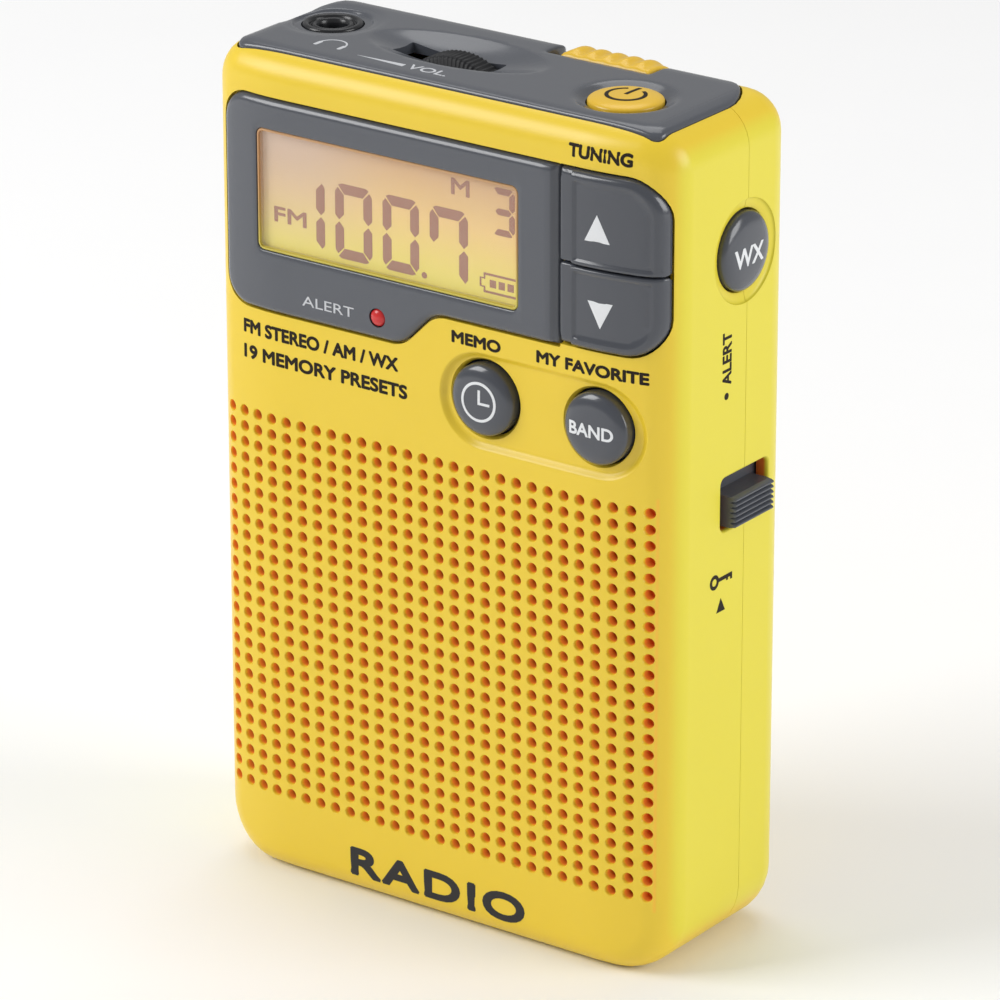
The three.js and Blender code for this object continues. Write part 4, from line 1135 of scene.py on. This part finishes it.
def case_screw(index, x, z):
    head = 11.87
    profile = [(0, -3.5), (0.7, -3.5), (1.1, -2.6), (1.1, head), (2.1, head), (2.15, head + 0.2),
               (2.1, head + 0.7), (1.8, head + 1.1), (1.2, head + 1.35), (0, head + 1.45)]
    screw = turned(f"screw_{index}", profile, "y", (x, 0, z), 40)
    slots = [box("slot", x - a, x + a, head + 0.7, 15, z - b, z + b) for a, b in ((1.25, 0.22), (0.22, 1.25))]
    boolean(screw, *slots)
    return piece(screw, "case", STEEL, "bright_metal", f"case_screw_{index}")


for number, (screw_x, screw_z) in enumerate([(x, z) for z in SCREW_Z for x in (-SCREW_X, SCREW_X)], 1):
    case_screw(number, screw_x, screw_z)


# ------------------------------------------------------------------ legends and symbols

INK_SUNK, INK_PROUD = -0.03, 0.03


def union(polygons):
    """Overlapping flat polygons as one clean plate, one unit thick."""
    points, edges = [], []
    for polygon in polygons:
        start, n = len(points), len(polygon)
        points += polygon
        edges += [(start + i, start + (i + 1) % n) for i in range(n)]
        corner = np.array(polygon)
        if np.ptp(corner, axis=0).min() > 1.2:
            span = [np.arange(corner[:, k].min() + 0.3, corner[:, k].max(), 0.45) for k in (0, 1)]
            extra = np.stack(np.meshgrid(*span), -1).reshape(-1, 2)
            extra = extra[inside(extra, polygon)]
            points += [tuple(q) for q in extra]
    flat, triangles = triangulated(
        points, edges, 1e-4, lambda middle: np.any([inside(middle, polygon) for polygon in polygons], axis=0)
    )
    n = len(flat)
    solid = np.vstack([np.column_stack([flat, np.zeros(n)]), np.column_stack([flat, np.ones(n)])])
    directed = {(a, b) for t in triangles for a, b in ((t[0], t[1]), (t[1], t[2]), (t[2], t[0]))}
    faces = [tuple(t + n) for t in triangles] + [tuple(t[::-1]) for t in triangles]
    faces += [(b, a, a + n, b + n)[::-1] for a, b in directed if (b, a) not in directed]
    return solid, faces


def glyphs(string, spacing):
    """Triangles and outline edges of a line of text in font units."""
    curve = bpy.data.curves.new("letters", "FONT")
    curve.body = string
    curve.space_character = spacing
    curve.resolution_u = 5
    carrier = bpy.data.objects.new("letters", curve)
    bpy.context.collection.objects.link(carrier)
    graph = bpy.context.evaluated_depsgraph_get()
    mesh = bpy.data.meshes.new_from_object(carrier.evaluated_get(graph))
    points = np.array([tuple(p.co)[:2] for p in mesh.vertices])
    faces = [tuple(f.vertices) for f in mesh.polygons]
    count = {}
    for face in faces:
        for i, a in enumerate(face):
            key = tuple(sorted((a, face[(i + 1) % len(face)])))
            count[key] = count.get(key, 0) + 1
    bpy.data.objects.remove(carrier)
    bpy.data.curves.remove(curve)
    bpy.data.meshes.remove(mesh)
    return points, faces, [key for key, times in count.items() if times == 1]


def letters(string, u, v, width, height, bold=0.0, spacing=1.0):
    """Text as flat polygons: lower left at (u, v), fitted to a width and a capital height."""
    tall = glyphs("H", 1.0)[0]
    low, high = tall[:, 1].min(), tall[:, 1].max()
    points, faces, rim = glyphs(string, spacing)
    left, right = points[:, 0].min(), points[:, 0].max()
    flat = np.empty_like(points)
    flat[:, 0] = u + bold / 2 + (points[:, 0] - left) * (width - bold) / (right - left)
    flat[:, 1] = v + bold / 2 + (points[:, 1] - low) * (height - bold) / (high - low)
    polygons = [[tuple(flat[i]) for i in face] for face in faces]
    if bold:
        for a, b in rim:
            p, q = flat[a], flat[b]
            along = (q - p) / max(np.linalg.norm(q - p), 1e-9)
            over = np.array([-along[1], along[0]]) * bold / 2
            tip = along * bold * 0.25
            ends = (p - tip * 0.5 + over, p - tip, p - tip * 0.5 - over, q + tip * 0.5 - over, q + tip,
                    q + tip * 0.5 + over)
            polygons.append([tuple(e) for e in ends])
    return polygons


def stroke(path, width, closed=False):
    """A line of even width as quads."""
    p = np.array(path, float)
    if closed:
        before, after = np.roll(p, 1, axis=0), np.roll(p, -1, axis=0)
    else:
        before, after = np.vstack([p[:1], p[:-1]]), np.vstack([p[1:], p[-1:]])
    e = after - before
    e /= np.maximum(np.linalg.norm(e, axis=1, keepdims=True), 1e-9)
    n = np.stack([-e[:, 1], e[:, 0]], 1) * width / 2
    count = len(p) if closed else len(p) - 1
    quads = []
    for i in range(count):
        j = (i + 1) % len(p)
        quads.append([tuple(p[i] + n[i]), tuple(p[i] - n[i]), tuple(p[j] - n[j]), tuple(p[j] + n[j])])
    return quads


def line(u0, v0, u1, v1, count=8):
    return [(u0 + (u1 - u0) * k / count, v0 + (v1 - v0) * k / count) for k in range(count + 1)]


def arc(u, v, radius, start, end, count=40):
    angles = [math.radians(start + (end - start) * k / count) for k in range(count + 1)]
    return [(u + radius * math.cos(a), v + radius * math.sin(a)) for a in angles]


def print_on(name, polygons, surface, body, material, slot):
    """One printed piece laid on a surface function of (u, v, lift)."""
    flat, faces = union(polygons)
    points = [surface(a, b, INK_SUNK + (INK_PROUD - INK_SUNK) * c) for a, b, c in flat]
    return piece(new_object(name, points, faces), body, material, slot, angle=30)


def dark_print(name, polygons, surface, body="case", material=PRINT_DARK):
    print_on(name, polygons, surface, body, material, "black_plastic")


def light_print(name, polygons, surface, body="case", material=PRINT_LIGHT):
    print_on(name, polygons, surface, body, material, "white_plastic")


def on_front(u, v, lift):
    return (u, float(front_y(u, v)) - lift, v)


def on_bezel(u, v, lift):
    return (u, float(front_y(u, v, -BEZEL_RISE)) - lift, v)


def on_key(u, v, lift):
    return (u, float(front_y(u, v, -KEY_RISE)) + KEY_DISH - lift, v)


def on_button(x):
    def surface(u, v, lift):
        share = math.hypot(u - x, v - ROUND_KEY_Z) / ROUND_RADIUS
        return (u, -ROUND_FACE + ROUND_CROWN * (1 - dome(share)) - lift, v)

    return surface


def on_plate(u, v, lift):
    return (u, v, float(plate_surface(u, v)) + lift)


def on_power(u, v, lift):
    share = math.hypot(u - POWER_X, v - POWER_Y) / POWER_RADIUS
    return (u, v, POWER_FACE - POWER_CROWN * (1 - dome(share, POWER_FULLNESS)) + lift)


def on_weather(u, v, lift):
    share = math.hypot(u - WEATHER_Y, v - WEATHER_Z) / WEATHER_RADIUS
    return (WEATHER_FACE - WEATHER_CROWN * (1 - dome(share)) + lift, u, v)


def on_side(u, v, lift):
    return (SIDE + lift, u, v)


def upward(polygons, u, v):
    """Turns polygons a quarter so that they read upward from (u, v)."""
    return [[(u - b, v + a) for a, b in polygon] for polygon in polygons]


dark_print(
    "legends_front",
    letters("FM STEREO / AM / WX", -29.8, 74.0, 24.9, 1.85, 0.2)
    + letters("19 MEMORY PRESETS", -29.8, 70.6, 26.3, 1.85, 0.2)
    + letters("TUNING", 21.0, 107.4, 9.0, 1.7, 0.2)
    + letters("MEMO", 3.4, 79.8, 7.5, 1.6, 0.2)
    + letters("MY FAVORITE", 16.3, 79.9, 16.0, 1.6, 0.2),
    on_front,
)
dark_print("legend_name", letters("RADIO", -13.2, 2.9, 27.8, 4.0, 0.5, 1.14), on_front, material=PRINT_NAME)
light_print("legend_alert", letters("ALERT", -19.5, 79.95, 8.1, 1.3), on_bezel, material=PRINT_GREY)
light_print("mark_up", [[(23.85, 97.4), (27.4, 97.4), (25.6, 100.9)]], on_key, "tuning_up")
light_print("mark_down", [[(24.35, 89.8), (26.1, 86.4), (27.85, 89.8)]], on_key, "tuning_down")
hand_x, hand_z = MEMO_X + 0.1, ROUND_KEY_Z - 0.15
clock = stroke(circle(MEMO_X, ROUND_KEY_Z, 2.45, 56), 0.36, True)
clock += stroke(line(hand_x, ROUND_KEY_Z + 1.6, hand_x, ROUND_KEY_Z - 0.33, 5), 0.36)
clock += stroke(line(hand_x, hand_z, MEMO_X + 1.7, hand_z, 5), 0.33)
light_print("mark_clock", clock, on_button(MEMO_X), "memo")
band_text = letters("BAND", BAND_X - 3.45, ROUND_KEY_Z - 0.95, 6.6, 1.7, 0.12)
light_print("legend_band", band_text, on_button(BAND_X), "band")
weather_text = letters("WX", WEATHER_Y - 3.3, WEATHER_Z - 1.6, 6.2, 2.5, 0.16)
light_print("legend_weather", weather_text, on_weather, "weather")
power_mark = stroke(arc(POWER_X, POWER_Y, 2.4, 118, 422, 48), 0.5)
power_mark += stroke(line(POWER_X, POWER_Y - 0.1, POWER_X, POWER_Y + 3.1), 0.5)
dark_print("mark_power", power_mark, on_power, "power")
top_marks = stroke(arc(-20.4, -6.7, 1.9, 5, 175, 24), 0.24)
top_marks += [rectangle(u, u + 0.55, -7.9, -6.3, 0.22, 3) for u in (-22.5, -18.85)]
top_marks += [[(-15.2, -8.3), (-7.9, -8.8), (-7.9, -7.95)]] + letters("VOL.", -7.2, -9.1, 6.0, 1.7, 0.05)
light_print("legends_top", top_marks, on_plate, material=PRINT_GREY)
side_marks = stroke(circle(-2.9, 51.6, 0.74, 24), 0.5, True)
side_marks += stroke([(-2.1, 51.65), (1.0, 51.65)], 0.52)
side_marks += stroke([(-0.1, 51.7), (-0.1, 51.1)], 0.4) + stroke([(0.8, 51.9), (0.8, 51.0)], 0.42)
side_marks += [[(-2.4, 47.3), (-0.5, 47.3), (-1.45, 49.1)], circle(-0.75, 75.6, 0.46, 20)]
side_marks += upward(letters("ALERT", 0, 0, 7.0, 1.95, 0.15), 0.25, 77.0)
dark_print("legends_side", side_marks, on_side)


# ------------------------------------------------------------------ display marks

SEGMENTS = {"0": "abcdef", "1": "bc", "3": "abcdg", "7": "abcf"}


def digit(character, x0, x1, z0, z1, thick):
    """A seven-segment digit as bevelled bars."""
    gap, t = 0.14, thick
    zm = (z0 + z1) / 2
    c = t * 0.45
    tip = [x0 + gap + c * 0.6, x0 + gap + c * 1.4, x1 - gap - c * 1.4, x1 - gap - c * 0.6]
    inner = [x0 + t + gap * 0.5, x1 - t - gap * 0.5]
    short = [x0 + t + gap * 0.4, x1 - t - gap * 0.4]
    bars = {
        "a": [(tip[0], z1 - c * 0.4), (tip[1], z1), (tip[2], z1), (tip[3], z1 - c * 0.4), (inner[1], z1 - t),
              (inner[0], z1 - t)],
        "d": [(inner[0], z0 + t), (inner[1], z0 + t), (tip[3], z0 + c * 0.4), (tip[2], z0), (tip[1], z0),
              (tip[0], z0 + c * 0.4)],
        "g": [(x0 + gap + c, zm), (short[0], zm + t / 2), (short[1], zm + t / 2), (x1 - gap - c, zm),
              (short[1], zm - t / 2), (short[0], zm - t / 2)],
    }

    def upright(xa, xb, za, zb, outer_top):
        """xa is the outer side, za and zb the lower and upper ends."""
        lean = math.copysign(1, xb - xa)
        far, near = xa + lean * c, xa + lean * c * 0.7
        if outer_top:
            return [(xa, za + c + gap), (far, za + gap), (xb, za + t * 0.55 + gap), (xb, zb - t - gap),
                    (near, zb - c * 0.7 - gap), (xa, zb - c * 1.6 - gap)]
        return [(xa, za + c * 1.6 + gap), (near, za + c * 0.7 + gap), (xb, za + t + gap),
                (xb, zb - t * 0.55 - gap), (far, zb - gap), (xa, zb - c - gap)]

    bars["f"] = upright(x0, x0 + t, zm, z1, True)
    bars["b"] = upright(x1, x1 - t, zm, z1, True)
    bars["e"] = upright(x0, x0 + t, z0, zm, False)
    bars["c"] = upright(x1, x1 - t, z0, zm, False)
    return [bars[s] for s in SEGMENTS[character]]


marks = digit("1", -22.2, -16.7, 87.0, 96.7, 1.35)
marks += digit("0", -15.05, -9.3, 86.95, 96.8, 1.35)
marks += digit("0", -7.65, -2.05, 86.95, 96.8, 1.35)
marks += digit("7", -0.4, 5.45, 86.95, 96.8, 1.35)
marks += digit("3", 9.1, 12.55, 94.85, 101.0, 0.85)
marks += [circle(-1.25, 87.35, 0.42, 20)]
marks += stroke([(7.9, 89.5), (13.0, 89.5)], 0.3) + stroke([(7.9, 87.2), (13.0, 87.2)], 0.3)
marks += stroke([(7.95, 89.6), (7.95, 88.9), (7.35, 88.9), (7.35, 87.8), (7.95, 87.8), (7.95, 87.1)], 0.3)
marks += stroke([(12.95, 89.6), (12.95, 89.0)], 0.3) + stroke([(12.95, 87.7), (12.95, 87.1)], 0.3)
marks += [rectangle(8.75 + 1.35 * i, 9.7 + 1.35 * i, 87.85, 88.85) for i in range(3)]


def on_panel(u, v, lift):
    return (u, LCD_FACE - lift, v)


marks += letters("FM", -24.7, 89.75, 5.1, 2.05, 0.14) + letters("M", 2.9, 98.8, 2.8, 2.15, 0.14)
print_on("lcd_marks", marks, on_panel, "case", SEGMENT, "lcd")


# ------------------------------------------------------------------ floor, light, camera


LIGHT_TARGET = Vector((0, 0, 0.06))


def pale_floor():
    mesh = bpy.data.meshes.new("floor")
    mesh.from_pydata([(-3, -3, 0), (3, -3, 0), (3, 3, 0), (-3, 3, 0)], [], [(0, 1, 2, 3)])
    floor = bpy.data.objects.new("floor", mesh)
    bpy.context.collection.objects.link(floor)
    pale = moulded("floor_pale", (0.97, 0.97, 0.97, 1), rough=0.8, grain=0.0, drift=0.005, specular=0.1)
    mesh.materials.append(pale)


def softbox(name, place, size, power):
    light = bpy.data.lights.new(name, "AREA")
    light.energy = power
    light.size = size
    obj = bpy.data.objects.new(name, light)
    obj.location = place
    obj.rotation_euler = (LIGHT_TARGET - Vector(place)).to_track_quat("-Z", "Y").to_euler()
    bpy.context.collection.objects.link(obj)


pale_floor()
softbox("key_light", (-0.7, -0.65, 0.7), 0.6, 7.4)
softbox("side_light", (1.0, 0.3, 0.42), 0.6, 5.4)
softbox("top_light", (-0.25, 0.3, 1.0), 0.7, 3.0)
world = bpy.data.worlds.new("studio")
bpy.context.scene.world = world
world.use_nodes = True
world.node_tree.nodes["Background"].inputs["Color"].default_value = (1, 1, 1, 1)
world.node_tree.nodes["Background"].inputs["Strength"].default_value = 0.4
bpy.context.scene.view_settings.view_transform = "Standard"

camera_data = bpy.data.cameras.new("camera")
camera_data.sensor_width = 36
camera_data.lens = 222.9
camera_data.clip_start = 0.01
camera = bpy.data.objects.new("camera", camera_data)
right_way = Vector((0.809208, 0.587522, -0.000757))
down_way = Vector((0.214541, -0.296692, -0.930562))
ahead = Vector((-0.546951, 0.752856, -0.366133))
turn = Matrix((right_way, -down_way, -ahead)).transposed().to_4x4()
camera.matrix_world = Matrix.Translation(Vector((0.43111, -0.59257, 0.34185))) @ turn
bpy.context.collection.objects.link(camera)
bpy.context.scene.camera = camera
